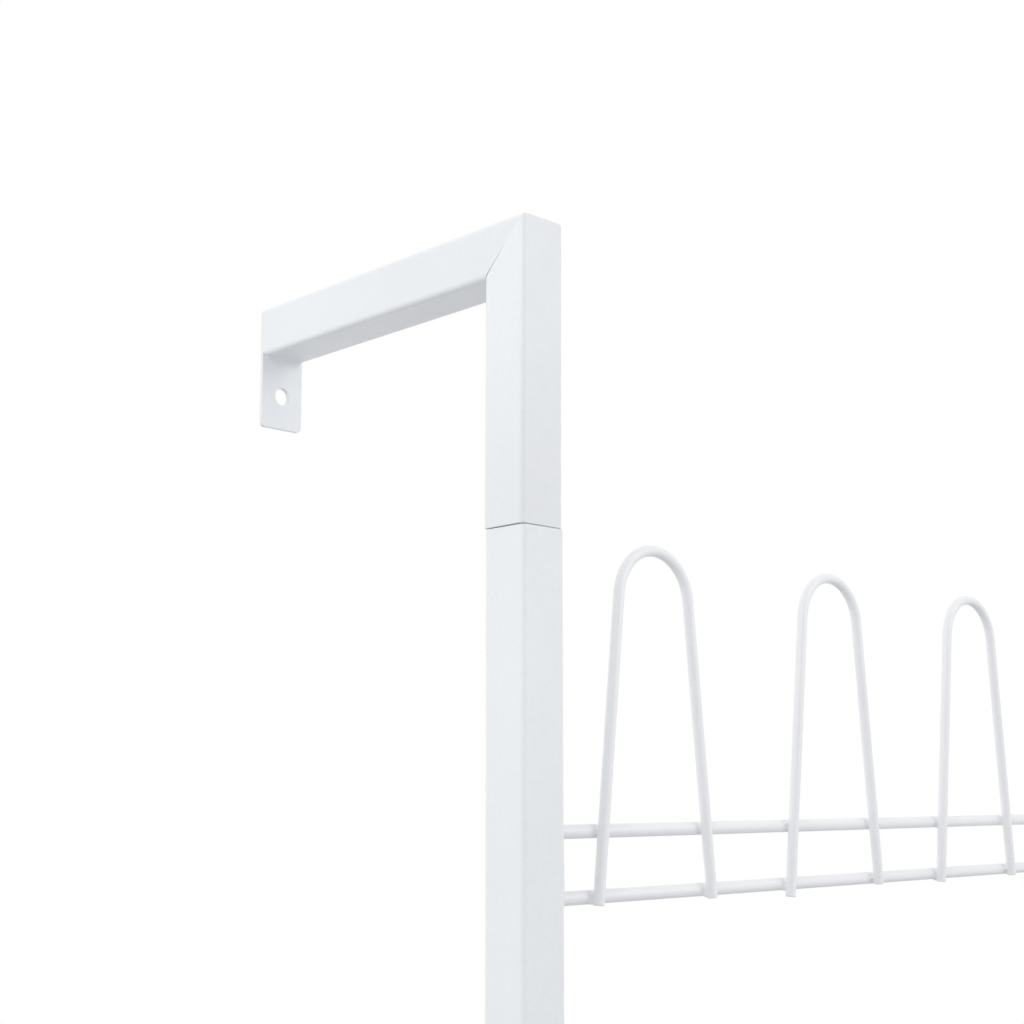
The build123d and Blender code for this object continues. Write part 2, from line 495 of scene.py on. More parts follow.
@dataclass(frozen=True)
class ZincPlate(CloudedFinish):
    """Bright zinc on small turned parts, slightly blue and clouded by handling."""

    name: str = "bright_zinc"
    slot: Slot = Slot.ZINC_STEEL
    clear: Colour = (0.70, 0.72, 0.75)
    cloudy: Colour = (0.52, 0.53, 0.54)
    cloud_per_metre: float = 420.0
    cloud_detail: float = 3.0
    gloss_low: float = 0.22
    gloss_high: float = 0.42
    grain_per_metre: float = 5200.0
    grain_depth: float = 0.01 * MM
    grain_strength: float = 0.3

    def dress(self, board: NodeBoard, shader: bpy.types.Node, place: Socket) -> None:
        """Wire the clouded finish, as a metal."""
        super().dress(board, shader, place)
        shader.inputs["Metallic"].default_value = 1.0


@dataclass(frozen=True)
class Nylon(CloudedFinish):
    """Natural nylon: milky, dull and a little translucent.

    Attributes:
        glow: share of light that passes through the surface.
        glow_depth: how deep it goes.
        glow_colours: how deep red, green and blue go, as shares of that.
    """

    name: str = "natural_nylon"
    slot: Slot = Slot.NYLON
    clear: Colour = (0.78, 0.77, 0.72)
    cloudy: Colour = (0.70, 0.68, 0.61)
    cloud_per_metre: float = 300.0
    cloud_detail: float = 2.0
    gloss_low: float = 0.45
    gloss_high: float = 0.6
    grain_per_metre: float = 2600.0
    grain_depth: float = 0.015 * MM
    grain_strength: float = 0.4
    glow: float = 0.3
    glow_depth: float = 1.5 * MM
    glow_colours: Colour = (1.0, 0.9, 0.7)

    def dress(self, board: NodeBoard, shader: bpy.types.Node, place: Socket) -> None:
        """Wire the clouded finish, with light that passes through it.

        Args:
            board: the material's node tree.
            shader: the Principled shader.
            place: object coordinates in metres.
        """
        super().dress(board, shader, place)
        shader.inputs["Subsurface Weight"].default_value = self.glow
        shader.inputs["Subsurface Radius"].default_value = self.glow_colours
        shader.inputs["Subsurface Scale"].default_value = self.glow_depth


POWDER = PowderCoat()
# The wires' coat: the same powder with brighter colours, which are painted light on the wires, and a
# glossier, smoother finish.
WIRE_COAT_PAINTED_LIGHT = PowderCoat(
    name="white_wire_coat",
    thick=(0.905, 0.92, 0.94),
    thin=(0.888, 0.903, 0.923),
    gloss_low=0.28,
    gloss_high=0.36,
    peel_per_metre=900.0,
    peel_depth=0.004 * MM,
    flow_per_metre=160.0,
    flow_depth=0.01 * MM,
)
STEEL = BareSteel()
ZINC = ZincPlate()
NATURAL_NYLON = Nylon()


# ---------------------------------------------------------------------------------------------
# Mesh helpers
# ---------------------------------------------------------------------------------------------


def shown(
    name: str, mesh: bpy.types.Mesh, finish: Finish, body: str, nodes: Sequence[str] = ()
) -> bpy.types.Object:
    """Put a finished mesh in the scene as a piece of the rack.

    Args:
        name: the piece's name.
        mesh: its mesh, in the rack's own frame.
        finish: what it is coated with.
        body: the moving body that carries it.
        nodes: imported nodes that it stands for.

    Returns:
        The new object.
    """
    mesh.materials.clear()
    mesh.materials.append(finish.make())
    piece = bpy.data.objects.new(name, mesh)
    bpy.context.scene.collection.objects.link(piece)
    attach(piece, body)
    if nodes:
        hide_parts(*nodes)
    LOG.info("%s: %d faces on %s", name, len(mesh.polygons), body)
    return piece


def repaint(node: str, finish: Finish) -> None:
    """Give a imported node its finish.

    Args:
        node: the node's name.
        finish: what it is coated with.
    """
    mesh = frame["nodes"][node].data
    mesh.materials.clear()
    mesh.materials.append(finish.make())
    LOG.info("%s: repainted", node)


def evaluated(thing: bpy.types.Object) -> bpy.types.Mesh:
    """Turn an object's modifiers into a plain mesh and remove the object.

    Args:
        thing: the object with modifiers.

    Returns:
        The resulting mesh.
    """
    bpy.context.view_layer.update()
    graph = bpy.context.evaluated_depsgraph_get()
    mesh = bpy.data.meshes.new_from_object(thing.evaluated_get(graph), depsgraph=graph)
    bpy.data.objects.remove(thing)
    return mesh


def scratch(name: str, mesh: bpy.types.Mesh) -> bpy.types.Object:
    """Put a mesh in the scene for as long as its modifiers need it.

    Args:
        name: the object's name.
        mesh: its mesh.

    Returns:
        The object.
    """
    thing = bpy.data.objects.new(name, mesh)
    bpy.context.scene.collection.objects.link(thing)
    return thing


def loft(name: str, rings: Sequence[Ring], closed: bool) -> bpy.types.Mesh:
    """Skin a series of rings.

    Args:
        name: the mesh's name.
        rings: rings with the same number of points each.
        closed: True to join the last ring to the first, False to cap both.

    Returns:
        A smooth-shaded closed mesh with its faces outwards.
    """
    count = len(rings[0])
    shell = bmesh.new()
    loops = [[shell.verts.new(point) for point in ring] for ring in rings]
    pairs = list(zip(loops, loops[1:]))
    if closed:
        pairs.append((loops[-1], loops[0]))
    for first, second in pairs:
        for i in range(count):
            j = (i + 1) % count
            shell.faces.new((first[i], first[j], second[j], second[i]))
    if not closed:
        shell.faces.new(list(reversed(loops[0])))
        shell.faces.new(loops[-1])
    bmesh.ops.recalc_face_normals(shell, faces=shell.faces)
    mesh = bpy.data.meshes.new(name)
    shell.to_mesh(mesh)
    shell.free()
    crease(mesh)
    return mesh


def crease(mesh: bpy.types.Mesh) -> None:
    """Shade a mesh smooth, but for its real edges."""
    mesh.shade_smooth()
    mesh.set_sharp_from_angle(angle=SHARP_ANGLE)


@dataclass(frozen=True)
class RoundedSection:
    """A rounded rectangle about the origin, as points with their outward normals.

    Attributes:
        half_u: half its width.
        half_v: half its height.
        corner: radius of its corners.
        corner_steps: facets of a corner.
        flat_steps: pieces of a side.
        hold: how near a side's first and last points are to its corners.
    """

    half_u: float
    half_v: float
    corner: float
    corner_steps: int = 8
    flat_steps: int = 5
    hold: float = 0.06 * MM

    def points(self) -> list[tuple[float, float, float, float]]:
        """Walk round the section once.

        Returns:
            For each point its u and v, and its normal's u and v.
        """
        walk = []
        corners = ((1, 1, 0), (-1, 1, 90), (-1, -1, 180), (1, -1, 270))
        for index, (sign_u, sign_v, start) in enumerate(corners):
            centre = (sign_u * (self.half_u - self.corner), sign_v * (self.half_v - self.corner))
            for step in range(self.corner_steps + 1):
                angle = math.radians(start + 90 * step / self.corner_steps)
                normal = (math.cos(angle), math.sin(angle))
                u, v = centre[0] + self.corner * normal[0], centre[1] + self.corner * normal[1]
                walk.append((u, v, *normal))
            next_u, next_v, _ = corners[(index + 1) % 4]
            target = Vector((next_u * (self.half_u - self.corner), next_v * (self.half_v - self.corner)))
            flat_end = target + self.corner * Vector(normal)
            flat_start = Vector(walk[-1][:2])
            run = flat_end - flat_start
            shares = [self.hold / run.length]
            shares += [k / self.flat_steps for k in range(1, self.flat_steps)]
            shares.append(1 - self.hold / run.length)
            walk += [(*(flat_start + share * run), *normal) for share in shares]
        return walk


# ---------------------------------------------------------------------------------------------
# Square tube
# ---------------------------------------------------------------------------------------------


@dataclass(frozen=True)
class TubeEnd:
    """One end of a length of square tube: its cut and how its edge is softened.

    Attributes:
        cut: square, or a mitre whose long side is the section's +v side.
        edge: rounding of the cut edge, all round a square cut.
        crack: rounding at a mitre's short side, where the weld doesn't reach.
        ground: radius that a mitre's long side is ground to.
        opening: daylight at a mitre's short side.
        closed: share of a mitre's length that its weld holds shut, from the long side.
        tilt: how far out of square a square cut is, along the section's u and v.
    """

    cut: Cut = Cut.SQUARE
    edge: float = 0.3 * MM
    crack: float = 0.15 * MM
    ground: float = 0.7 * MM
    opening: float = 0.45 * MM
    closed: float = 0.42
    tilt: Point = (0.0, 0.0)


@dataclass(frozen=True)
class SquareTube:
    """A length of square tube with rounded corners and a real wall.

    Attributes:
        name: name of the piece.
        start: centre of the first end.
        along: unit vector from the first end to the last.
        long_side: unit vector towards a mitre's long side.
        length: from end to end, on the long side.
        size: outside width.
        wall: wall thickness.
        corner: outside corner radius.
        first: the first end.
        last: the last end.
        lean: how far the first end stands out of line.
    """

    name: str
    start: Vector
    along: Vector
    long_side: Vector
    length: float
    size: float
    wall: float
    corner: float
    first: TubeEnd
    last: TubeEnd
    lean: Vector = Vector((0, 0, 0))

    edge_steps = 5
    inner_corner_share = 0.25
    crack_power = 1.5

    def _lost(self, end: TubeEnd, u: float, v: float) -> float:
        """Length that the cut itself takes away at a point of the section.

        Args:
            end: the tube's end.
            u: the point's first coordinate.
            v: the point's second coordinate, towards the long side.

        Returns:
            The length, in metres.
        """
        if end.cut is Cut.SQUARE:
            return end.tilt[0] * u + end.tilt[1] * v
        across = 0.5 - v / self.size
        open_share = max(0.0, across - end.closed) / (1 - end.closed)
        return self.size * across + end.opening * open_share

    def _softening(self, end: TubeEnd, share: float, v: float, normal_v: float) -> Point:
        """How far a point of the softened edge lies in from the face and back from the cut.

        Args:
            end: the tube's end.
            share: 0 where the edge begins on the face, 1 on the cut.
            v: the point's place across the section, towards the long side.
            normal_v: the face's normal in that direction.

        Returns:
            Inset and setback, in metres.
        """
        quarter = share * math.pi / 2
        if end.cut is Cut.SQUARE:
            return end.edge * (1 - math.cos(quarter)), end.edge * (1 - math.sin(quarter))
        across = 0.5 - v / self.size
        crack = end.crack * max(0.0, across) ** self.crack_power
        eighth = quarter / 2
        outer = max(0.0, normal_v) ** 2
        inset = outer * end.ground * (1 - math.cos(eighth)) + (1 - outer) * crack * (1 - math.cos(quarter))
        setback = outer * end.ground * (math.cos(eighth) - math.sin(eighth))
        setback += (1 - outer) * crack * (1 - math.sin(quarter))
        return inset, setback

    def _end_rings(self, end: TubeEnd, from_start: bool) -> list[Ring]:
        """Rings of one end, from the outer face to the inner wall.

        Args:
            end: the tube's end.
            from_start: True for the first end.

        Returns:
            The rings, each with the section's number of points.
        """
        side = self.along.cross(self.long_side)
        half = self.size / 2
        outer = RoundedSection(half, half, self.corner)
        inner_half = half - self.wall
        inner = RoundedSection(inner_half, inner_half, self.corner * self.inner_corner_share)

        def place(u: float, v: float, setback: float) -> Vector:
            """Find a point of the tube.

            Args:
                u: the section's point, sideways.
                v: the section's point, towards the long side.
                setback: how far it is from the cut.

            Returns:
                The point, in the rack's own frame.
            """
            reach = setback + self._lost(end, u, v)
            distance = reach if from_start else self.length - reach
            shift = self.lean * (1 - distance / self.length)
            return self.start + shift + u * side + v * self.long_side + distance * self.along

        rings = []
        for step in range(self.edge_steps + 1):
            share = step / self.edge_steps
            ring = []
            for u, v, normal_u, normal_v in outer.points():
                inset, setback = self._softening(end, share, v, normal_v)
                ring.append(place(u - inset * normal_u, v - inset * normal_v, setback))
            rings.append(ring)
        rings.append([place(u, v, 0.0) for u, v, _, _ in inner.points()])
        return rings

    def mesh(self) -> bpy.types.Mesh:
        """Skin the tube, outside and inside.

        Returns:
            The closed mesh.
        """
        first = self._end_rings(self.first, True)
        last = self._end_rings(self.last, False)
        return loft(self.name, list(reversed(first)) + last, closed=True)


def add_bar(shell: bmesh.types.BMesh, start: Vector, end: Vector, radius: float, sides: int) -> None:
    """Add a straight round bar to a mesh that is being built.

    Args:
        shell: the mesh.
        start: centre of the bar's first end.
        end: centre of its last end.
        radius: its radius.
        sides: facets round it.
    """
    run = end - start
    turn = run.to_track_quat("Z", "Y").to_matrix().to_4x4()
    place = Matrix.Translation((start + end) / 2) @ turn
    bmesh.ops.create_cone(
        shell, cap_ends=True, segments=sides, radius1=radius, radius2=radius, depth=run.length, matrix=place
    )


def drilled(mesh: bpy.types.Mesh, drills: Sequence[Drill], sides: int = 32) -> bpy.types.Mesh:
    """Cut round holes through a mesh.

    Args:
        mesh: the mesh to drill.
        drills: start, end and radius of each hole.
        sides: facets of a hole.

    Returns:
        The drilled mesh.
    """
    cutter = bmesh.new()
    for start, end, radius in drills:
        add_bar(cutter, start, end, radius, sides)
    tool_mesh = bpy.data.meshes.new("drill")
    cutter.to_mesh(tool_mesh)
    cutter.free()
    tool = scratch("drill", tool_mesh)
    work = scratch(mesh.name, mesh)
    step = work.modifiers.new("drill", "BOOLEAN")
    step.operation = "DIFFERENCE"
    step.solver = "EXACT"
    step.object = tool
    result = evaluated(work)
    bpy.data.objects.remove(tool)
    crease(result)
    return result


@dataclass
class SideFrame:
    """One side of the rack: a post in three lengths, two arms and two wall plates.

    Attributes:
        side: left or right.
        wall: tube wall thickness.
        corner: tube corner radius.
        plate_edge: rounding of a wall plate's edges.
        plate_corner: radius of a wall plate's corners.
        seam_gap: daylight left at each seam of the post.
        seam_tilt: how far a stub's cut is out of square, as a slope.
        seam_step: how far a stub stands out of line with the post, within its sleeve's play.
        flush_edge: rounding of an arm's wall end, which is flush with its plate.
        drill_reach: how far a hole's drill goes to each side of the post's face.
        body: the body that carries it.
    """

    side: Side
    wall: float = 1.5 * MM
    corner: float = 2.0 * MM
    plate_edge: float = 0.35 * MM
    plate_corner: float = 2.0 * MM
    seam_gap: float = 0.24 * MM
    seam_tilt: float = 0.007
    seam_step: Vector = Vector((-0.36, 0.28, 0.0)) * MM
    flush_edge: float = 0.06 * MM
    drill_reach: float = 3.0 * MM
    body: str = "frame"

    def __post_init__(self) -> None:
        """Read the side frame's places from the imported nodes."""
        low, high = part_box(f"main_post_{self.side.word}")
        self.size = high.x - low.x
        self.post_x = (low.x + high.x) / 2
        self.post_y = (low.y + high.y) / 2
        self.front_y = low.y
        self.seam = {Level.UPPER: high.z, Level.LOWER: low.z}
        self.outer = {
            Level.UPPER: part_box(f"upper_arm_{self.side.word}")[1].z,
            Level.LOWER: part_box(f"lower_arm_{self.side.word}")[0].z,
        }

    def _tube(
        self,
        name: str,
        start: Vector,
        along: Vector,
        long_side: Vector,
        length: float,
        ends: Sequence[TubeEnd],
        lean: Vector = Vector((0, 0, 0)),
    ) -> SquareTube:
        """Make a length of this frame's tube.

        Args:
            name: name of the piece.
            start: centre of the first end.
            along: unit vector to the last end.
            long_side: unit vector towards a mitre's long side.
            length: from end to end.
            ends: the first and the last end.
            lean: how far the first end stands out of line.

        Returns:
            The tube.
        """
        return SquareTube(
            name, start, along, long_side, length, self.size, self.wall, self.corner, *ends, lean
        )

    def build_main_post(self) -> None:
        """Middle length of the post, with the holes that its hardware fills."""
        low, high = self.seam[Level.LOWER], self.seam[Level.UPPER]
        start = Vector((self.post_x, self.post_y, low))
        up, forward = Vector((0, 0, 1)), Vector((0, -1, 0))
        ends = (TubeEnd(), TubeEnd())
        tube = self._tube(f"post_{self.side.word}", start, up, forward, high - low, ends)
        drills = []
        inner_x = self.post_x - self.side.value * self.size / 2
        reach = Vector((self.side.value * self.drill_reach, 0, 0))
        for row in row_numbers():
            pivot = Pivot.of_row(row)
            drills.append((Vector((inner_x, pivot.y, pivot.z)), pivot.bush_hole))
            drills.append((Vector((inner_x, pivot.y, pivot.z + pivot.stop_radius)), pivot.nut_hole))
        cuts = [(place - reach, place + reach, radius) for place, radius in drills]
        mesh = drilled(tube.mesh(), cuts)
        shown(tube.name, mesh, POWDER, self.body, [f"main_post_{self.side.word}"])

    def build_corner(self, level: Level) -> None:
        """Stub and arm at one end of the post, mitred together.

        Args:
            level: upper or lower.
        """
        word = f"{level.word}_{{}}_{self.side.word}"
        up = Vector((0, 0, level.value))
        seam, outer = self.seam[level], self.outer[level]
        gap = self.seam_gap * level.value
        stub_start = Vector((self.post_x, self.post_y, seam + gap))
        stub_length = abs(outer - seam) - self.seam_gap
        mitre = TubeEnd(cut=Cut.MITRE)
        sawn = TubeEnd(tilt=(-level.value * self.seam_tilt, self.seam_tilt / 2))
        name = f"{level.word}_stub_tube_{self.side.word}"
        forward = Vector((0, -1, 0))
        stub = self._tube(name, stub_start, up, forward, stub_length, (sawn, mitre), self.seam_step)
        shown(stub.name, stub.mesh(), POWDER, self.body, [word.format("stub")])
        plate_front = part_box(word.format("wall_plate"))[0].y
        arm_start = Vector((self.post_x, plate_front, outer - level.value * self.size / 2))
        arm_length = plate_front - self.front_y
        flush = TubeEnd(edge=self.flush_edge)
        name = f"{level.word}_arm_tube_{self.side.word}"
        arm = self._tube(name, arm_start, forward, up, arm_length, (flush, mitre))
        shown(arm.name, arm.mesh(), POWDER, self.body, [word.format("arm")])

    def build_wall_plate(self, level: Level) -> None:
        """Plate on the arm's wall end, with its screw hole and softened edges.

        Args:
            level: upper or lower.
        """
        node = f"{level.word}_wall_plate_{self.side.word}"
        low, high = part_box(node)
        hole = wall_hole(self.side, level)
        plate = WallPlate(
            name=f"{level.word}_end_plate_{self.side.word}",
            low=low,
            high=high,
            hole=hole,
            corner=self.plate_corner,
            edge=self.plate_edge,
        )
        shown(plate.name, plate.mesh(), POWDER, self.body, [node])
        inner_face = self.outer[level] - level.value * self.size
        bead = FilletBead(
            name=f"{level.word}_plate_weld_{self.side.word}",
            corner=Vector((self.post_x, low.y, inner_face)),
            away=-level.value,
            width=self.size - self.corner,
            seed=11 * level.value + self.side.value,
        )
        shown(bead.name, bead.mesh(), POWDER, self.body)

    def build(self) -> None:
        """Make every piece of the side frame."""
        self.build_main_post()
        for level in Level:
            self.build_corner(level)
            self.build_wall_plate(level)
            repaint(f"{level.word}_sleeve_{self.side.word}", STEEL)


@dataclass(frozen=True)
class WallPlate:
    """A flat plate with rounded corners, one round hole and softened edges.

    Attributes:
        name: name of the piece.
        low: lowest corner.
        high: highest corner.
        hole: the hole's centre and radius.
        corner: radius of the plate's corners.
        edge: rounding of its edges.
    """

    name: str
    low: Vector
    high: Vector
    hole: tuple[Vector, float]
    corner: float
    edge: float

    edge_steps = 4
    flush_edge = 0.08 * MM
    hold = 0.06 * MM

    def mesh(self) -> bpy.types.Mesh:
        """Skin the plate from the hole's back edge round the outside and back.

        Returns:
            The closed mesh.
        """
        middle = (self.low + self.high) / 2
        half_x, half_z = (self.high.x - self.low.x) / 2, (self.high.z - self.low.z) / 2
        section = RoundedSection(half_x, half_z, self.corner)
        centre, radius = self.hole
        outline = section.points()
        bearings = [math.atan2(middle.z + v - centre.z, middle.x + u - centre.x) for u, v, _, _ in outline]
        front, back = self.low.y, self.high.y

        def rim(inset: float, y: float) -> Ring:
            """Ring round the plate's outside."""
            return [
                Vector((middle.x + u - inset * nu, y, middle.z + v - inset * nv))
                for u, v, nu, nv in outline
            ]

        def bore(growth: float, y: float) -> Ring:
            """Ring round the hole."""
            reach = radius + growth
            return [
                Vector((centre.x + reach * math.cos(bearing), y, centre.z + reach * math.sin(bearing)))
                for bearing in bearings
            ]

        def softened(
            ring: Callable[[float, float], Ring], edge: float, face: float, inward: float, leaving: bool
        ) -> list[Ring]:
            """Rings of one rounded edge, between a flat face and a side.

            Args:
                ring: makes the side's ring, from its distance off the side and its y.
                edge: radius of the rounding.
                face: the flat face's y.
                inward: sign of y from the face into the plate.
                leaving: True to go from the side to the face, False to go back.

            Returns:
                The rings, in order.
            """
            turns = [k / self.edge_steps * math.pi / 2 for k in range(self.edge_steps + 1)]
            if leaving:
                turns.reverse()
            return [
                ring(edge * (1 - math.sin(turn)), face + inward * edge * (1 - math.cos(turn)))
                for turn in turns
            ]

        held, held_flush = self.edge + self.hold, self.flush_edge + self.hold
        rings = softened(bore, self.edge, back, -1.0, True) + [bore(held, back)]
        rings += [rim(held, back)] + softened(rim, self.edge, back, -1.0, False)
        rings += softened(rim, self.flush_edge, front, 1.0, True) + [rim(held_flush, front)]
        rings += [bore(held, front)] + softened(bore, self.edge, front, 1.0, False)
        return loft(self.name, rings, closed=True)


@dataclass(frozen=True)
class FilletBead:
    """A small weld bead in the inside corner between an arm and its wall plate.

    Attributes:
        name: name of the piece.
        corner: middle of the inside corner's line.
        away: sign of z in which the plate's tab runs.
        width: length of the bead, along x.
        seed: picks the bead's ripple.
    """

    name: str
    corner: Vector
    away: int
    width: float
    seed: int

    radius = 3.4 * MM
    toe = 0.3 * MM
    root = 0.5 * MM
    sink = 0.03 * MM
    end_share = 0.1
    end_power = 8
    ripple = 0.07
    ripples_per_metre = 260.0
    long_steps = 40
    arc_steps = 10

    def _ring(self, x: float, radius: float) -> Ring:
        """Section of the bead: a hollow arc whose ends dip just under both faces.

        Args:
            x: place along the bead.
            radius: the arc's radius there.

        Returns:
            The section's points.
        """
        flat = [(-self.root, -self.root), (radius + self.toe, -self.sink)]
        for turn in range(self.arc_steps + 1):
            angle = math.radians(90 * turn / self.arc_steps)
            flat.append((radius * (1 - math.sin(angle)), radius * (1 - math.cos(angle))))
        flat.append((-self.sink, radius + self.toe))
        return [Vector((x, self.corner.y - out, self.corner.z + self.away * along)) for out, along in flat]

    def mesh(self) -> bpy.types.Mesh:
        """Skin the bead, end to end.

        Returns:
            The closed mesh.
        """
        rings = []
        for step in range(self.long_steps + 1):
            share = 2 * step / self.long_steps - 1
            x = self.corner.x + share * self.width / 2
            taper = math.sqrt(max(0.0, 1 - share**self.end_power))
            fullness = self.end_share + (1 - self.end_share) * taper
            wobble = noise.noise(Vector((x * self.ripples_per_metre, self.seed, 0.5)))
            rings.append(self._ring(x, self.radius * fullness * (1 + self.ripple * wobble)))
        return loft(self.name, rings, closed=False)


def wall_hole(side: Side, level: Level) -> tuple[Vector, float]:
    """Centre and radius of a wall plate's hole, from the record's bolt pattern.

    Args:
        side: left or right.
        level: upper or lower.

    Returns:
        The hole's centre and its radius, in metres.
    """
    pattern = next(m for m in frame["record"]["mounts"] if m["kind"] == "bolt_pattern")
    dims = pattern["dims"]
    centre = Vector(pattern["pos_m"])
    centre.x += side.value * dims["spacing_x_mm"] * MM / 2
    centre.z += level.value * dims["spacing_y_mm"] * MM / 2
    return centre, dims["hole_r_mm"] * MM


# ---------------------------------------------------------------------------------------------
# Rows of loops
# ---------------------------------------------------------------------------------------------


def row_numbers() -> list[int]:
    """Numbers of the rows, from the top one down."""
    return sorted(int(name.split("_")[1]) for name in frame["bodies"] if name.startswith("row_"))


@dataclass(frozen=True)
class Pivot:
    """The hinge line of one row and the hardware round it.

    Attributes:
        y: the hinge line's y.
        z: the hinge line's z.
        stop_radius: from the hinge line up to the stop screw.
        bush_hole: radius of the post's hole for the bush.
        nut_hole: radius of the post's hole for the rivet nut.
    """

    y: float
    z: float
    stop_radius: float = 10.0 * MM
    bush_hole: float = 3.5 * MM
    nut_hole: float = 3.0 * MM

    @staticmethod
    def of_row(row: int) -> "Pivot":
        """Find a row's hinge line, which is its joint's.

        Args:
            row: the row's number.

        Returns:
            The row's pivot.
        """
        joint = next(j for j in frame["joints"] if j["child"] == f"row_{row}")
        _, y, z = joint["pos_m"]
        return Pivot(y, z)


class GeometryTool:
    """Geometry Nodes tree that turns a plain mesh into finished pieces and coats them.

    Attributes:
        name: the tree's name.
        inputs: name and kind of each input but the geometry.
    """

    name: str
    inputs: tuple[tuple[str, str], ...]

    def __init__(self) -> None:
        """Build the tree once."""
        self.tree = bpy.data.node_groups.new(self.name, "GeometryNodeTree")
        face = self.tree.interface
        face.new_socket("Geometry", in_out="INPUT", socket_type="NodeSocketGeometry")
        self.sockets = {
            name: face.new_socket(name, in_out="INPUT", socket_type=kind).identifier
            for name, kind in (*self.inputs, ("Coat", "NodeSocketMaterial"))
        }
        face.new_socket("Geometry", in_out="OUTPUT", socket_type="NodeSocketGeometry")
        board = NodeBoard(self.tree)
        given = board.add("NodeGroupInput").outputs
        real = board.add("GeometryNodeRealizeInstances")
        board.join(self._wire(board, given), real.inputs["Geometry"])
        coat = board.add("GeometryNodeSetMaterial")
        board.join(real.outputs["Geometry"], coat.inputs["Geometry"])
        board.join(given["Coat"], coat.inputs["Material"])
        board.join(coat.outputs["Geometry"], board.add("NodeGroupOutput").inputs["Geometry"])

    def _wire(self, board: NodeBoard, given: bpy.types.NodeOutputs) -> Socket:
        """Wire the tree's own work.

        Args:
            board: the tree.
            given: the tree's inputs.

        Returns:
            The geometry, before it is coated.
        """
        raise NotImplementedError

    def _run(
        self, mesh: bpy.types.Mesh, finish: Finish, settings: dict[str, object]
    ) -> bpy.types.Mesh:
        """Run the tree on a mesh.

        Args:
            mesh: the plain mesh.
            finish: what the pieces are coated with.
            settings: a value for each of the tree's inputs.

        Returns:
            The finished mesh.
        """
        thing = scratch(mesh.name, mesh)
        step = thing.modifiers.new(self.name, "NODES")
        step.node_group = self.tree
        for name, value in settings.items():
            step[self.sockets[name]] = value
        step[self.sockets["Coat"]] = finish.make()
        return evaluated(thing)


class SweptWire(GeometryTool):
    """Geometry Nodes tree that sweeps a round wire along an object's edges."""

    name = "swept_wire"
    inputs = (
        ("Wire Radius", "NodeSocketFloat"),
        ("Cut Rounding", "NodeSocketFloat"),
        ("Sides", "NodeSocketInt"),
    )

    def _wire(self, board: NodeBoard, given: bpy.types.NodeOutputs) -> Socket:
        """Wire edges to a curve, its rounded cut ends and the sweep.

        Args:
            board: the tree.
            given: the tree's inputs.

        Returns:
            The swept wire.
        """
        curve = board.add("GeometryNodeMeshToCurve")
        board.join(given["Geometry"], curve.inputs["Mesh"])
        along = board.add("GeometryNodeSplineParameter").outputs["Length"]
        total = board.add("GeometryNodeSplineLength").outputs["Length"]
        to_end = board.math("MINIMUM", along, board.math("SUBTRACT", total, along))
        short = board.math("SUBTRACT", given["Cut Rounding"], to_end)
        share = board.math("MAXIMUM", board.math("DIVIDE", short, given["Cut Rounding"]), 0.0)
        root = board.math("SQRT", board.math("SUBTRACT", 1.0, board.math("POWER", share, 2.0)))
        kept = board.math("SUBTRACT", given["Wire Radius"], given["Cut Rounding"])
        radius = board.math("ADD", kept, board.math("MULTIPLY", given["Cut Rounding"], root))
        sized = board.add("GeometryNodeSetCurveRadius")
        board.join(curve.outputs["Curve"], sized.inputs["Curve"])
        board.join(radius, sized.inputs["Radius"])
        circle = board.add("GeometryNodeCurvePrimitiveCircle")
        circle.inputs["Radius"].default_value = 1.0
        board.join(given["Sides"], circle.inputs["Resolution"])
        sweep = board.add("GeometryNodeCurveToMesh")
        sweep.inputs["Fill Caps"].default_value = True
        board.join(sized.outputs["Curve"], sweep.inputs["Curve"])
        board.join(circle.outputs["Curve"], sweep.inputs["Profile Curve"])
        board.join(radius, sweep.inputs["Scale"])
        smooth = board.add("GeometryNodeSetShadeSmooth")
        board.join(sweep.outputs["Mesh"], smooth.inputs["Geometry"])
        return smooth.outputs["Geometry"]

    def mesh(
        self, name: str, path: Sequence[Vector], radius: float, rounding: float, sides: int
    ) -> bpy.types.Mesh:
        """Sweep a wire along a path.

        Args:
            name: the mesh's name.
            path: points of the wire's centre line.
            radius: the wire's radius.
            rounding: rounding of its cut ends.
            sides: facets round the wire.

        Returns:
            The wire's closed mesh.
        """
        line = bpy.data.meshes.new(name)
        line.from_pydata([tuple(p) for p in path], [(i, i + 1) for i in range(len(path) - 1)], [])
        settings = {"Wire Radius": radius, "Cut Rounding": rounding, "Sides": sides}
        mesh = self._run(line, WIRE_COAT_PAINTED_LIGHT, settings)
        outward(mesh)
        return mesh


def outward(mesh: bpy.types.Mesh) -> None:
    """Turn a closed mesh's faces outwards.

    Args:
        mesh: the mesh, which is changed in place.
    """
    shell = bmesh.new()
    shell.from_mesh(mesh)
    bmesh.ops.recalc_face_normals(shell, faces=shell.faces)
    shell.to_mesh(mesh)
    shell.free()


def with_cut_ends(path: Sequence[Vector], rounding: float, steps: int = 4) -> list[Vector]:
    """Add the points near a path's ends that its rounded cuts need.

    Args:
        path: points of a centre line.
        rounding: rounding of the cut ends.
        steps: points at each end.

    Returns:
        The path with the points added.
    """
    turns = [math.pi / 2 * k / steps for k in range(1, steps + 1)]
    gaps = [rounding * (1 - math.cos(turn)) for turn in turns]
    first = (path[1] - path[0]).normalized()
    last = (path[-2] - path[-1]).normalized()
    opening = [path[0] + gap * first for gap in gaps]
    closing = [path[-1] + gap * last for gap in reversed(gaps)]
    return [path[0], *opening, *path[1:-1], *closing, path[-1]]


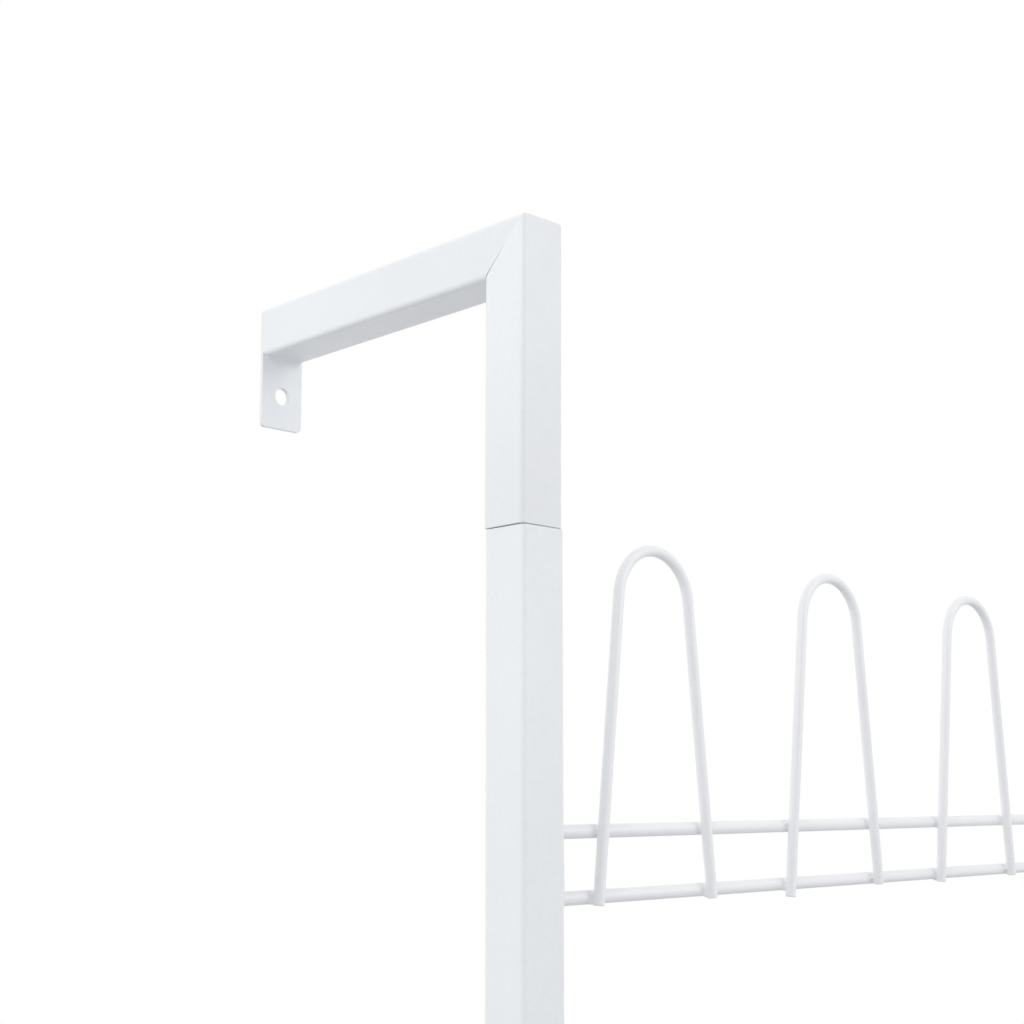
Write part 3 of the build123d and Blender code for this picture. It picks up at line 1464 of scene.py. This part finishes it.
@dataclass(frozen=True)
class LoopShape:
    """Inverted U of wire: straight legs that lean in, tangent to a round top.

    Attributes:
        height: lower rail to the top, on centre lines.
        base: between the legs at the lower rail.
        bend: radius of the top.
        wire: the wire's radius.
    """

    height: float
    base: float
    bend: float
    wire: float

    arc_steps = 28

    @property
    def lean(self) -> float:
        """Angle between a leg and the upright.

        Returns:
            The angle, in radians.
        """
        rise = self.height - self.bend
        reach = math.hypot(self.base / 2, rise)
        return math.atan2(self.base / 2, rise) - math.asin(self.bend / reach)

    def leg_x(self, height: float) -> float:
        """Distance of a leg from the loop's middle, at a height above the lower rail."""
        return self.base / 2 - height * math.tan(self.lean)

    def path(self, centre: Vector, tails: Point) -> list[Vector]:
        """Centre line of the wire.

        Args:
            centre: the loop's middle at the lower rail's height.
            tails: how far the left and the right leg reach below that.

        Returns:
            Points from the left leg's end to the right leg's.
        """
        left, right = tails
        top = centre + Vector((0, 0, self.height - self.bend))
        points = [centre + Vector((-self.leg_x(-left), 0, -left))]
        for step in range(self.arc_steps + 1):
            angle = math.pi - self.lean + (2 * self.lean - math.pi) * step / self.arc_steps
            points.append(top + self.bend * Vector((math.cos(angle), 0, math.sin(angle))))
        points.append(centre + Vector((self.leg_x(-right), 0, -right)))
        return points


@dataclass(frozen=True)
class WeldSpec:
    """One kind of crossing between a leg and a rail.

    Attributes:
        lean: the leg's lean, positive where its foot is to the right.
        ends_here: True at the lower rail, where the leg is cut off.
        seed: picks the blobs.
    """

    lean: float
    ends_here: bool
    seed: int


@dataclass(frozen=True)
class CrossingWeld:
    """A resistance weld where a leg crosses in front of a rail, with its squeezed-out metal.

    The origin is on the rail's axis, which is along x; the leg stands in front of it.

    Attributes:
        rail: the rail's radius.
        wire: the leg's radius.
        spec: which kind of crossing it is.
    """

    rail: float
    wire: float
    spec: WeldSpec

    # The two bars: how far they reach, how far under the wires' skin they lie and how they are
    # melted together. A leg that ends here reaches below the rail's axis by a share of its radius.
    reach = 4.6 * MM
    shrink = 0.03 * MM
    bar_sides = 28
    foot_share = 0.8
    voxel = 0.36 * MM
    relaxing = 0.5
    passes = 9

    # The squeezed-out metal: one core between the bars and a ring of small blobs round it.
    core = Vector((2.3, 1.0, 2.1)) * MM
    few_blobs = (1, 3)
    many_blobs = (3, 6)
    blob_size = (0.45 * MM, 0.95 * MM)
    blob_stretch_x = (0.9, 1.5)
    blob_stretch_z = (0.8, 1.2)
    ring_x_mm = 2.6
    ring_y_mm = (-0.7, 0.5)
    ring_z_mm = 2.3

    def _blob(self, shell: bmesh.types.BMesh, centre: Vector, radii: Vector) -> None:
        """Add an ellipsoid to the mesh that is being built."""
        place = Matrix.Translation(centre) @ Matrix.Diagonal((*radii, 1.0))
        bmesh.ops.create_icosphere(shell, subdivisions=2, radius=1.0, matrix=place)

    def mesh(self) -> bpy.types.Mesh:
        """Melt the two bars and the squeezed-out metal into one smooth skin.

        Returns:
            The weld's closed mesh.
        """
        chance = random.Random(self.spec.seed)
        shell = bmesh.new()
        rail, wire = self.rail - self.shrink, self.wire - self.shrink
        along = Vector((self.reach, 0, 0))
        add_bar(shell, -along, along, rail, self.bar_sides)
        leg = Vector((0, -(self.rail + self.wire), 0))
        slant = Vector((-math.tan(self.spec.lean), 0, 1))
        foot = -self.foot_share * self.rail if self.spec.ends_here else -self.reach
        add_bar(shell, leg + foot * slant, leg + self.reach * slant, wire, self.bar_sides)
        touch = Vector((0, -self.rail, 0))
        self._blob(shell, touch, self.core)
        for _ in range(chance.randint(*(self.many_blobs if self.spec.ends_here else self.few_blobs))):
            size = chance.uniform(*self.blob_size)
            bearing = chance.uniform(0, 2 * math.pi)
            if self.spec.ends_here:
                bearing = chance.uniform(math.pi, 2 * math.pi)
            out_x = math.cos(bearing) * self.ring_x_mm
            out_y = chance.uniform(*self.ring_y_mm)
            out_z = math.sin(bearing) * self.ring_z_mm
            stretch_x = chance.uniform(*self.blob_stretch_x)
            stretch_z = chance.uniform(*self.blob_stretch_z)
            out = Vector((out_x, out_y, out_z)) * MM
            self._blob(shell, touch + out, size * Vector((stretch_x, 1.0, stretch_z)))
        raw = bpy.data.meshes.new("weld")
        shell.to_mesh(raw)
        shell.free()
        thing = scratch("weld", raw)
        melt = thing.modifiers.new("melt", "REMESH")
        melt.mode = "VOXEL"
        melt.voxel_size = self.voxel
        melt.use_smooth_shade = True
        relax = thing.modifiers.new("relax", "SMOOTH")
        relax.factor = self.relaxing
        relax.iterations = self.passes
        return evaluated(thing)


class PlacedParts(GeometryTool):
    """Geometry Nodes tree that sets ready-made parts on an object's points."""

    name = "placed_parts"
    inputs = (("Parts", "NodeSocketCollection"),)

    def _wire(self, board: NodeBoard, given: bpy.types.NodeOutputs) -> Socket:
        """Give each point the part and the turn that its attributes name.

        Args:
            board: the tree.
            given: the tree's inputs.

        Returns:
            The placed parts.
        """
        parts = board.add("GeometryNodeCollectionInfo")
        parts.inputs["Separate Children"].default_value = True
        parts.inputs["Reset Children"].default_value = True
        board.join(given["Parts"], parts.inputs["Collection"])
        points = board.add("GeometryNodeMeshToPoints")
        board.join(given["Geometry"], points.inputs["Mesh"])
        which = board.add("GeometryNodeInputNamedAttribute", data_type="INT")
        which.inputs["Name"].default_value = "part"
        turn = board.add("GeometryNodeInputNamedAttribute", data_type="FLOAT_VECTOR")
        turn.inputs["Name"].default_value = "turn"
        place = board.add("GeometryNodeInstanceOnPoints")
        place.inputs["Pick Instance"].default_value = True
        board.join(points.outputs["Points"], place.inputs["Points"])
        board.join(parts.outputs["Instances"], place.inputs["Instance"])
        board.join(which.outputs["Attribute"], place.inputs["Instance Index"])
        board.join(turn.outputs["Attribute"], place.inputs["Rotation"])
        return place.outputs["Instances"]

    def mesh(
        self,
        name: str,
        parts: Sequence[bpy.types.Mesh],
        places: Sequence[tuple[Vector, Euler, int]],
        finish: Finish,
    ) -> bpy.types.Mesh:
        """Set parts at places.

        Args:
            name: the mesh's name.
            parts: meshes to choose from, about their own origins.
            places: for each part its point, its turn and which mesh it is.
            finish: what the parts are coated with.

        Returns:
            All the parts as one mesh.
        """
        holder = bpy.data.collections.new(name)
        bpy.context.scene.collection.children.link(holder)
        models = []
        for index, part in enumerate(parts):
            model = bpy.data.objects.new(f"{name}_{index:02d}", part)
            holder.objects.link(model)
            models.append(model)
        dots = bpy.data.meshes.new(name)
        dots.from_pydata([tuple(point) for point, _, _ in places], [], [])
        which = dots.attributes.new("part", "INT", "POINT")
        which.data.foreach_set("value", [index for _, _, index in places])
        turn = dots.attributes.new("turn", "FLOAT_VECTOR", "POINT")
        turn.data.foreach_set("vector", [angle for _, euler, _ in places for angle in euler])
        mesh = self._run(dots, finish, {"Parts": holder})
        for model in models:
            bpy.data.objects.remove(model)
        bpy.data.collections.remove(holder)
        for leftover in ("part", "turn"):
            if leftover in mesh.attributes:
                mesh.attributes.remove(mesh.attributes[leftover])
        return mesh


@dataclass
class LoopRow:
    """One folding row: two rails, six loops, their welds and two hinge plates.

    Attributes:
        row: the row's number, from the top.
        wires: the tree that sweeps wires.
        placed: the tree that sets parts on points.
        weld_parts: weld meshes, WELD_KINDS for each of the four crossings of a loop.
        base: between a loop's legs at the lower rail.
        bend: radius of a loop's top.
        rail_rounding: rounding of a rail's cut ends.
        wire_rounding: rounding of a leg's cut ends.
        hinge_edge: rounding of a hinge plate's edges.
        rail_sides: facets round a rail.
        wire_sides: facets round a loop's wire.
    """

    row: int
    wires: SweptWire
    placed: PlacedParts
    weld_parts: list[bpy.types.Mesh]
    base: float = 62.0 * MM
    bend: float = 19.5 * MM
    rail_rounding: float = 0.5 * MM
    wire_rounding: float = 0.45 * MM
    hinge_edge: float = 0.3 * MM
    rail_sides: int = 32
    wire_sides: int = 28

    # How far each loop's left and right leg reach below the lower rail: they are sheared by hand.
    tails = (
        (2.8 * MM, 3.0 * MM),
        (4.9 * MM, 2.4 * MM),
        (3.4 * MM, 2.7 * MM),
        (2.9 * MM, 4.4 * MM),
        (4.1 * MM, 3.1 * MM),
        (3.0 * MM, 3.6 * MM),
    )

    def __post_init__(self) -> None:
        """Read the row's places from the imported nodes."""
        self.body = f"row_{self.row}"
        self.pivot = Pivot.of_row(self.row)
        self.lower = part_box(f"{self.body}_lower_rail")
        self.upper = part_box(f"{self.body}_upper_rail")
        self.rail = (self.lower[1].z - self.lower[0].z) / 2
        self.upper_z = (self.upper[0].z + self.upper[1].z) / 2
        self.loops = sorted(n for n in frame["nodes"] if n.startswith(f"{self.body}_loop_"))

    def shape(self) -> LoopShape:
        """Work out the loops' common shape from the first packed loop.

        Returns:
            The shape.
        """
        low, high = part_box(self.loops[0])
        wire = (high.y - low.y) / 2
        return LoopShape(height=high.z - wire - self.pivot.z, base=self.base, bend=self.bend, wire=wire)

    def build_rails(self) -> None:
        """Lower rail, whose ends turn in the bushes, and upper rail."""
        for word, (low, high) in (("lower", self.lower), ("upper", self.upper)):
            y, z = (low.y + high.y) / 2, (low.z + high.z) / 2
            path = [Vector((low.x, y, z)), Vector((0, y, z)), Vector((high.x, y, z))]
            name = f"{self.body}_{word}_bar"
            path = with_cut_ends(path, self.rail_rounding)
            mesh = self.wires.mesh(name, path, self.rail, self.rail_rounding, self.rail_sides)
            shown(name, mesh, WIRE_COAT_PAINTED_LIGHT, self.body, [f"{self.body}_{word}_rail"])

    def build_loops(self) -> None:
        """The loops, and their welds as one piece."""
        shape = self.shape()
        chance = random.Random(self.row)
        crossings = [(sign, z) for z in (self.pivot.z, self.upper_z) for sign in (-1, 1)]
        places = []
        for index, node in enumerate(self.loops):
            low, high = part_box(node)
            centre = Vector(((low.x + high.x) / 2, (low.y + high.y) / 2, self.pivot.z))
            path = with_cut_ends(shape.path(centre, self.tails[index]), self.wire_rounding)
            name = f"{self.body}_wire_{index + 1}"
            mesh = self.wires.mesh(name, path, shape.wire, self.wire_rounding, self.wire_sides)
            shown(name, mesh, WIRE_COAT_PAINTED_LIGHT, self.body, [node])
            for crossing, (sign, z) in enumerate(crossings):
                x = centre.x + sign * shape.leg_x(z - self.pivot.z)
                part = crossing * WELD_KINDS + chance.randrange(WELD_KINDS)
                places.append((Vector((x, self.pivot.y, z)), Euler((0, 0, 0)), part))
        name = f"{self.body}_welds"
        welds = self.placed.mesh(name, self.weld_parts, places, WIRE_COAT_PAINTED_LIGHT)
        shown(name, welds, WIRE_COAT_PAINTED_LIGHT, self.body)

    def build_hinge_plates(self) -> None:
        """Plates across the rails' ends, with softened edges."""
        for side in Side:
            node = f"{self.body}_hinge_plate_{side.word}"
            mesh = softened_copy(node, self.hinge_edge)
            shown(f"{self.body}_quadrant_{side.word}", mesh, POWDER, self.body, [node])

    def build(self) -> None:
        """Make every piece of the row."""
        self.build_rails()
        self.build_loops()
        self.build_hinge_plates()


def weld_meshes(shape: LoopShape, rail: float) -> list[bpy.types.Mesh]:
    """Make the welds of a loop's four crossings.

    Args:
        shape: the loops' shape.
        rail: the rails' radius.

    Returns:
        WELD_KINDS meshes for each crossing: lower left, lower right, upper left and upper right.
    """
    meshes = []
    for crossing in range(4):
        sign = -1 if crossing % 2 == 0 else 1
        for kind in range(WELD_KINDS):
            spec = WeldSpec(lean=sign * shape.lean, ends_here=crossing < 2, seed=10 * crossing + kind)
            meshes.append(CrossingWeld(rail, shape.wire, spec).mesh())
    return meshes


def softened_copy(node: str, edge: float, steps: int = 3) -> bpy.types.Mesh:
    """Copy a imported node's mesh and round its sharp edges.

    Args:
        node: the node's name.
        edge: rounding radius.
        steps: facets across a rounded edge.

    Returns:
        The softened mesh.
    """
    mesh = frame["nodes"][node].data.copy()
    shell = bmesh.new()
    shell.from_mesh(mesh)
    bmesh.ops.remove_doubles(shell, verts=shell.verts, dist=SAME_POINT)
    bmesh.ops.dissolve_limit(shell, angle_limit=FLAT_ANGLE, verts=shell.verts, edges=shell.edges)
    shell.to_mesh(mesh)
    shell.free()
    mesh.shade_smooth()
    thing = scratch(node + "_soft", mesh)
    bevel = thing.modifiers.new("edge", "BEVEL")
    bevel.width = edge
    bevel.segments = steps
    bevel.limit_method = "ANGLE"
    bevel.angle_limit = EDGE_ANGLE
    bevel.harden_normals = True
    return evaluated(thing)


# ---------------------------------------------------------------------------------------------
# Hardware
# ---------------------------------------------------------------------------------------------


@dataclass(frozen=True)
class SocketScrew:
    """Round-head screw with a hexagon socket. The head's seat is at z = 0 and the shank runs down.

    Attributes:
        head: the head's radius.
        height: the head's height.
        shank: the shank's radius.
        length: the shank's length.
        socket: the socket's radius, across its corners.
        depth: the socket's depth.
    """

    head: float
    height: float
    shank: float
    length: float
    socket: float = 1.45 * MM
    depth: float = 1.2 * MM

    sides = 48

    # The shank: its point, and the thread that stops short of the head.
    point_share = 0.75
    point_length = 0.5 * MM
    plain_length = 2.0 * MM
    pitch = 0.7 * MM
    thread_depth = 0.16 * MM
    crest = 0.1 * MM

    # The head: its seat's edge, its upright rim and its dome, which ends in a flat round the socket.
    seat_edge = 0.12 * MM
    rim = 0.5 * MM
    dome_steps = 9
    flat_share = 1.2

    # The socket: its eased corners, its tapered mouth and its conical floor.
    corner_share = 0.975
    mouth_edge = 0.06 * MM
    mouth_depth = 0.2 * MM
    wall_share = 0.96
    floor_share = 0.3
    floor_depth = 0.2 * MM

    def _round(self, radius: float, z: float) -> Ring:
        """Circular ring."""
        turns = [2 * math.pi * k / self.sides for k in range(self.sides)]
        return [Vector((radius * math.cos(turn), radius * math.sin(turn), z)) for turn in turns]

    def _hexagon(self, radius: float, z: float) -> Ring:
        """Hexagonal ring with slightly eased corners.

        Args:
            radius: the hexagon's radius, across its corners.
            z: the ring's height.

        Returns:
            The ring.
        """
        ring = []
        for k in range(self.sides):
            angle = 2 * math.pi * k / self.sides
            within = (angle % (math.pi / 3)) - math.pi / 6
            flat = radius * math.cos(math.pi / 6) / math.cos(within)
            reach = min(flat, radius * self.corner_share)
            ring.append(Vector((reach * math.cos(angle), reach * math.sin(angle), z)))
        return ring

    def _shank_rings(self) -> list[Ring]:
        """Rings of the point and the thread.

        Returns:
            The rings, from the point up to the head's seat.
        """
        rings = [self._round(self.point_share * self.shank, -self.length)]
        rings.append(self._round(self.shank, -self.length + self.point_length))
        for turn in range(int((self.length - self.plain_length) / self.pitch)):
            z = -self.length + self.point_length + turn * self.pitch
            rings.append(self._round(self.shank, z + self.crest))
            rings.append(self._round(self.shank - self.thread_depth, z + self.pitch / 2))
            rings.append(self._round(self.shank, z + self.pitch - self.crest))
        rings.append(self._round(self.shank, 0.0))
        return rings

    def _head_rings(self) -> list[Ring]:
        """Rings of the head.

        Returns:
            The rings, from the seat up to the flat round the socket.
        """
        flat = self.socket * self.flat_share
        dome = self.height - self.rim
        rings = [self._round(self.head - self.seat_edge, 0.0), self._round(self.head, self.seat_edge)]
        rings.append(self._round(self.head, self.rim))
        for step in range(1, self.dome_steps - 1):
            angle = math.radians(90 * step / self.dome_steps)
            radius = flat + (self.head - flat) * math.cos(angle)
            rings.append(self._round(radius, self.rim + dome * math.sin(angle)))
        rings.append(self._round(flat, self.height))
        return rings

    def _socket_rings(self) -> list[Ring]:
        """Rings of the socket.

        Returns:
            The rings, from its mouth down to its floor.
        """
        wall = self.socket * self.wall_share
        floor = self.height - self.depth
        return [
            self._hexagon(self.socket, self.height - self.mouth_edge),
            self._hexagon(wall, self.height - self.mouth_depth),
            self._hexagon(wall, floor),
            self._round(self.socket * self.floor_share, floor - self.floor_depth),
        ]

    def mesh(self) -> bpy.types.Mesh:
        """Skin the screw from its point, up the shank, over the head and into the socket.

        Returns:
            The closed mesh.
        """
        rings = self._shank_rings() + self._head_rings() + self._socket_rings()
        return loft("screw", rings, closed=False)


@dataclass
class Hardware:
    """Screws, rivet nuts and bushes.

    Attributes:
        placed: the tree that sets parts on points.
        body: the body that carries them.
        sleeve_screw: the screw that holds a sleeve.
        stop_screw: the screw that runs in a hinge plate's slot.
        sleeve_offset: from a seam to each of its sleeve's screws.
        stop_head_depth: from a post's inner face to a stop screw's head.
        nut_edge: rounding of a rivet nut's edges.
        bush_edge: rounding of a bush's edges.
    """

    placed: PlacedParts
    body: str = "frame"
    sleeve_screw: SocketScrew = SocketScrew(
        head=3.7 * MM, height=2.2 * MM, shank=1.95 * MM, length=6.0 * MM
    )
    stop_screw: SocketScrew = SocketScrew(
        head=3.5 * MM, height=2.0 * MM, shank=1.95 * MM, length=11.8 * MM
    )
    sleeve_offset: float = 22.0 * MM
    stop_head_depth: float = 3.8 * MM
    nut_edge: float = 0.12 * MM
    bush_edge: float = 0.15 * MM

    def build_sleeve_screws(self) -> None:
        """Screws in the posts' back faces, one at each end of each sleeve."""
        places = []
        for side in Side:
            low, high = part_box(f"main_post_{side.word}")
            for seam in (low.z, high.z):
                for offset in (-self.sleeve_offset, self.sleeve_offset):
                    point = Vector(((low.x + high.x) / 2, high.y, seam + offset))
                    places.append((point, Euler((-math.pi / 2, 0.0, 0.0)), 0))
        mesh = self.placed.mesh("back_screws", [self.sleeve_screw.mesh()], places, ZINC)
        shown("back_screws", mesh, ZINC, self.body, ["sleeve_screws"])

    def build_stop_screws(self) -> None:
        """Screws that run in the hinge plates' slots."""
        places = []
        for side in Side:
            low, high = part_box(f"main_post_{side.word}")
            inner_x = high.x if side is Side.LEFT else low.x
            for row in row_numbers():
                pivot = Pivot.of_row(row)
                x = inner_x - side.value * self.stop_head_depth
                point = Vector((x, pivot.y, pivot.z + pivot.stop_radius))
                places.append((point, Euler((0.0, -side.value * math.pi / 2, 0.0)), 0))
        mesh = self.placed.mesh("slot_screws", [self.stop_screw.mesh()], places, ZINC)
        shown("slot_screws", mesh, ZINC, self.body, ["stop_screws"])

    def build(self) -> None:
        """Make the hardware."""
        self.build_sleeve_screws()
        self.build_stop_screws()
        nuts = softened_copy("rivet_nuts", self.nut_edge)
        shown("insert_nuts", nuts, ZINC, self.body, ["rivet_nuts"])
        bushes = softened_copy("pivot_bushes", self.bush_edge)
        shown("flanged_bushes", bushes, NATURAL_NYLON, self.body, ["pivot_bushes"])


# ---------------------------------------------------------------------------------------------
# Studio
# ---------------------------------------------------------------------------------------------


@dataclass(frozen=True)
class SoftBox:
    """A soft light.

    Attributes:
        name: its name.
        place: where it stands.
        width: its width.
        height: its height.
        power: its power, in watts.
    """

    name: str
    place: Vector
    width: float
    height: float
    power: float

    def build(self, aim: Vector) -> None:
        """Set the light up.

        Args:
            aim: the point that it faces.
        """
        data = bpy.data.lights.new(self.name, "AREA")
        data.shape = "RECTANGLE"
        data.size, data.size_y = self.width, self.height
        data.energy = self.power
        light = bpy.data.objects.new(self.name, data)
        light.location = self.place
        light.rotation_euler = (aim - self.place).to_track_quat("-Z", "Y").to_euler()
        bpy.context.scene.collection.objects.link(light)


@dataclass
class Studio:
    """White surroundings, a pale floor well below the rack, soft lights and the camera.

    Attributes:
        floor_drop: from the rack's lowest point to the floor.
        floor_middle: the floor's middle, in x and y.
        floor_reach: its radius.
        fade_from: where it begins to fade into the white, from its middle.
        fade_margin: how far inside its edge it has faded.
        floor_shown: its colour to the camera.
        floor_thrown: its colour as the light it throws back.
        sky: strength of the white round the rack.
        overhead: share of that strength from above.
        overhead_from: how high a direction must point before it begins to count as above.
        dark_side: strength from the camera's side.
        dark_from: how near the camera's side a direction must be for the darkening to begin.
        dark_to: how near for it to be complete.
        camera_side: direction of the camera's side, in x and y.
        lights: the soft lights.
        aim: the point that they face.
        camera_place: where the camera stands.
        camera_turn: its turn about the upright.
        camera_lift: how far it looks up.
        lens: its focal length, in millimetres.
        sensor: its sensor's width, in millimetres.
        shift_up: the lens's shift, as a share of the picture.
        nearest: the nearest distance that it sees.
    """

    floor_drop: float = 0.12
    floor_middle: Point = (0.0, -0.1)
    floor_reach: float = 2.5
    fade_from: float = 1.1
    fade_margin: float = 0.1
    floor_shown: Colour = (0.80, 0.81, 0.825)
    floor_thrown: Colour = (0.52, 0.517, 0.535)
    sky: float = 1.0
    overhead: float = 0.86
    overhead_from: float = 0.15
    dark_side: float = 0.38
    dark_from: float = 0.45
    dark_to: float = 0.95
    camera_side: Point = (-0.69, -0.72)
    lights: tuple[SoftBox, ...] = (
        SoftBox("left_box", Vector((-1.6, -0.3, 0.95)), width=1.3, height=1.0, power=7.4),
        SoftBox("front_box", Vector((0.8, -2.3, 1.1)), width=1.6, height=1.4, power=11.5),
    )
    aim: Vector = Vector((-0.2, -0.1, 0.2))
    camera_place: Vector = Vector((-0.7198, -0.5359, 0.2256))
    camera_turn: float = math.radians(-43.72)
    camera_lift: float = math.radians(6.83)
    lens: float = 55.27
    sensor: float = 36.0
    shift_up: float = 0.0859
    nearest: float = 0.01

    def build_world(self) -> None:
        """Pure white to the eye; for lighting, a little darker from the camera's side."""
        world = bpy.data.worlds.new("white_studio")
        bpy.context.scene.world = world
        world.use_nodes = True
        board = NodeBoard(world.node_tree)
        place = board.add("ShaderNodeTexCoord").outputs["Generated"]
        split = board.add("ShaderNodeSeparateXYZ")
        board.join(place, split.inputs["Vector"])
        side_x, side_y = self.camera_side
        toward_x = board.math("MULTIPLY", split.outputs["X"], side_x)
        toward_y = board.math("MULTIPLY", split.outputs["Y"], side_y)
        toward = board.math("ADD", toward_x, toward_y)
        shade = board.add("ShaderNodeMapRange", interpolation_type="SMOOTHSTEP")
        shade.inputs["From Min"].default_value = self.dark_from
        shade.inputs["From Max"].default_value = self.dark_to
        shade.inputs["To Min"].default_value = self.sky
        shade.inputs["To Max"].default_value = self.dark_side
        board.join(toward, shade.inputs["Value"])
        seen = board.add("ShaderNodeBackground")
        lit = board.add("ShaderNodeBackground")
        height = board.add("ShaderNodeMapRange", interpolation_type="SMOOTHSTEP")
        height.inputs["From Min"].default_value = self.overhead_from
        height.inputs["To Min"].default_value = 1.0
        height.inputs["To Max"].default_value = self.overhead
        board.join(split.outputs["Z"], height.inputs["Value"])
        strength = board.math("MULTIPLY", shade.outputs["Result"], height.outputs["Result"])
        board.join(strength, lit.inputs["Strength"])
        ray = board.add("ShaderNodeLightPath")
        both = board.add("ShaderNodeMixShader")
        board.join(ray.outputs["Is Camera Ray"], both.inputs["Fac"])
        board.join(lit.outputs["Background"], both.inputs[1])
        board.join(seen.outputs["Background"], both.inputs[2])
        seen.inputs["Color"].default_value = (1.0, 1.0, 1.0, 1.0)
        lit.inputs["Color"].default_value = (1.0, 1.0, 1.0, 1.0)
        board.join(both.outputs["Shader"], board.add("ShaderNodeOutputWorld").inputs["Surface"])

    def build_floor(self) -> None:
        """A round pale floor that fades into the white round it, and throws back less than it shows."""
        level = CAD_BOX[0].z - self.floor_drop
        disc = bmesh.new()
        place = Matrix.Translation((*self.floor_middle, level))
        bmesh.ops.create_circle(disc, cap_ends=True, segments=128, radius=self.floor_reach, matrix=place)
        mesh = bpy.data.meshes.new("floor")
        disc.to_mesh(mesh)
        disc.free()
        material = bpy.data.materials.new("pale_floor")
        material.use_nodes = True
        board = NodeBoard(material.node_tree)
        far = board.add("ShaderNodeVectorMath", operation="LENGTH")
        board.join(board.add("ShaderNodeTexCoord").outputs["Object"], far.inputs[0])
        fade = board.add("ShaderNodeMapRange", interpolation_type="SMOOTHSTEP")
        fade.inputs["From Min"].default_value = self.fade_from
        fade.inputs["From Max"].default_value = self.floor_reach - self.fade_margin
        board.join(far.outputs["Value"], fade.inputs["Value"])
        matt = board.add("ShaderNodeBsdfDiffuse")
        eye = board.add("ShaderNodeLightPath").outputs["Is Camera Ray"]
        board.join(board.tint(eye, self.floor_thrown, self.floor_shown), matt.inputs["Color"])
        both = board.add("ShaderNodeMixShader")
        board.join(fade.outputs["Result"], both.inputs["Fac"])
        board.join(matt.outputs["BSDF"], both.inputs[1])
        board.join(board.add("ShaderNodeEmission").outputs["Emission"], both.inputs[2])
        board.join(both.outputs["Shader"], board.add("ShaderNodeOutputMaterial").inputs["Surface"])
        mesh.materials.append(material)
        floor = bpy.data.objects.new("floor", mesh)
        bpy.context.scene.collection.objects.link(floor)

    def build_lights(self) -> None:
        """Soft boxes: one on the left and a broader one on the right front."""
        for light in self.lights:
            light.build(self.aim)

    def build_camera(self) -> None:
        """The camera, below the rack's top left corner and looking slightly up."""
        data = bpy.data.cameras.new("camera")
        data.lens = self.lens
        data.sensor_width = self.sensor
        data.shift_y = self.shift_up
        data.clip_start = self.nearest
        camera = bpy.data.objects.new("camera", data)
        camera.location = self.camera_place
        camera.rotation_euler = (math.pi / 2 + self.camera_lift, 0.0, self.camera_turn)
        bpy.context.scene.collection.objects.link(camera)
        bpy.context.scene.camera = camera

    def build(self) -> None:
        """Set the studio up."""
        bpy.context.scene.view_settings.view_transform = "Standard"
        self.build_world()
        self.build_floor()
        self.build_lights()
        self.build_camera()


def main() -> None:
    """Build the studio and the rack, and report each piece."""
    logging.basicConfig(level=logging.INFO, format="%(message)s")
    Studio().build()
    for side in Side:
        SideFrame(side).build()
    wires, placed = SweptWire(), PlacedParts()
    first = LoopRow(1, wires, placed, [])
    welds = weld_meshes(first.shape(), first.rail)
    for row in row_numbers():
        LoopRow(row, wires, placed, welds).build()
    Hardware(placed).build()


if __name__ == "__main__":
    main()
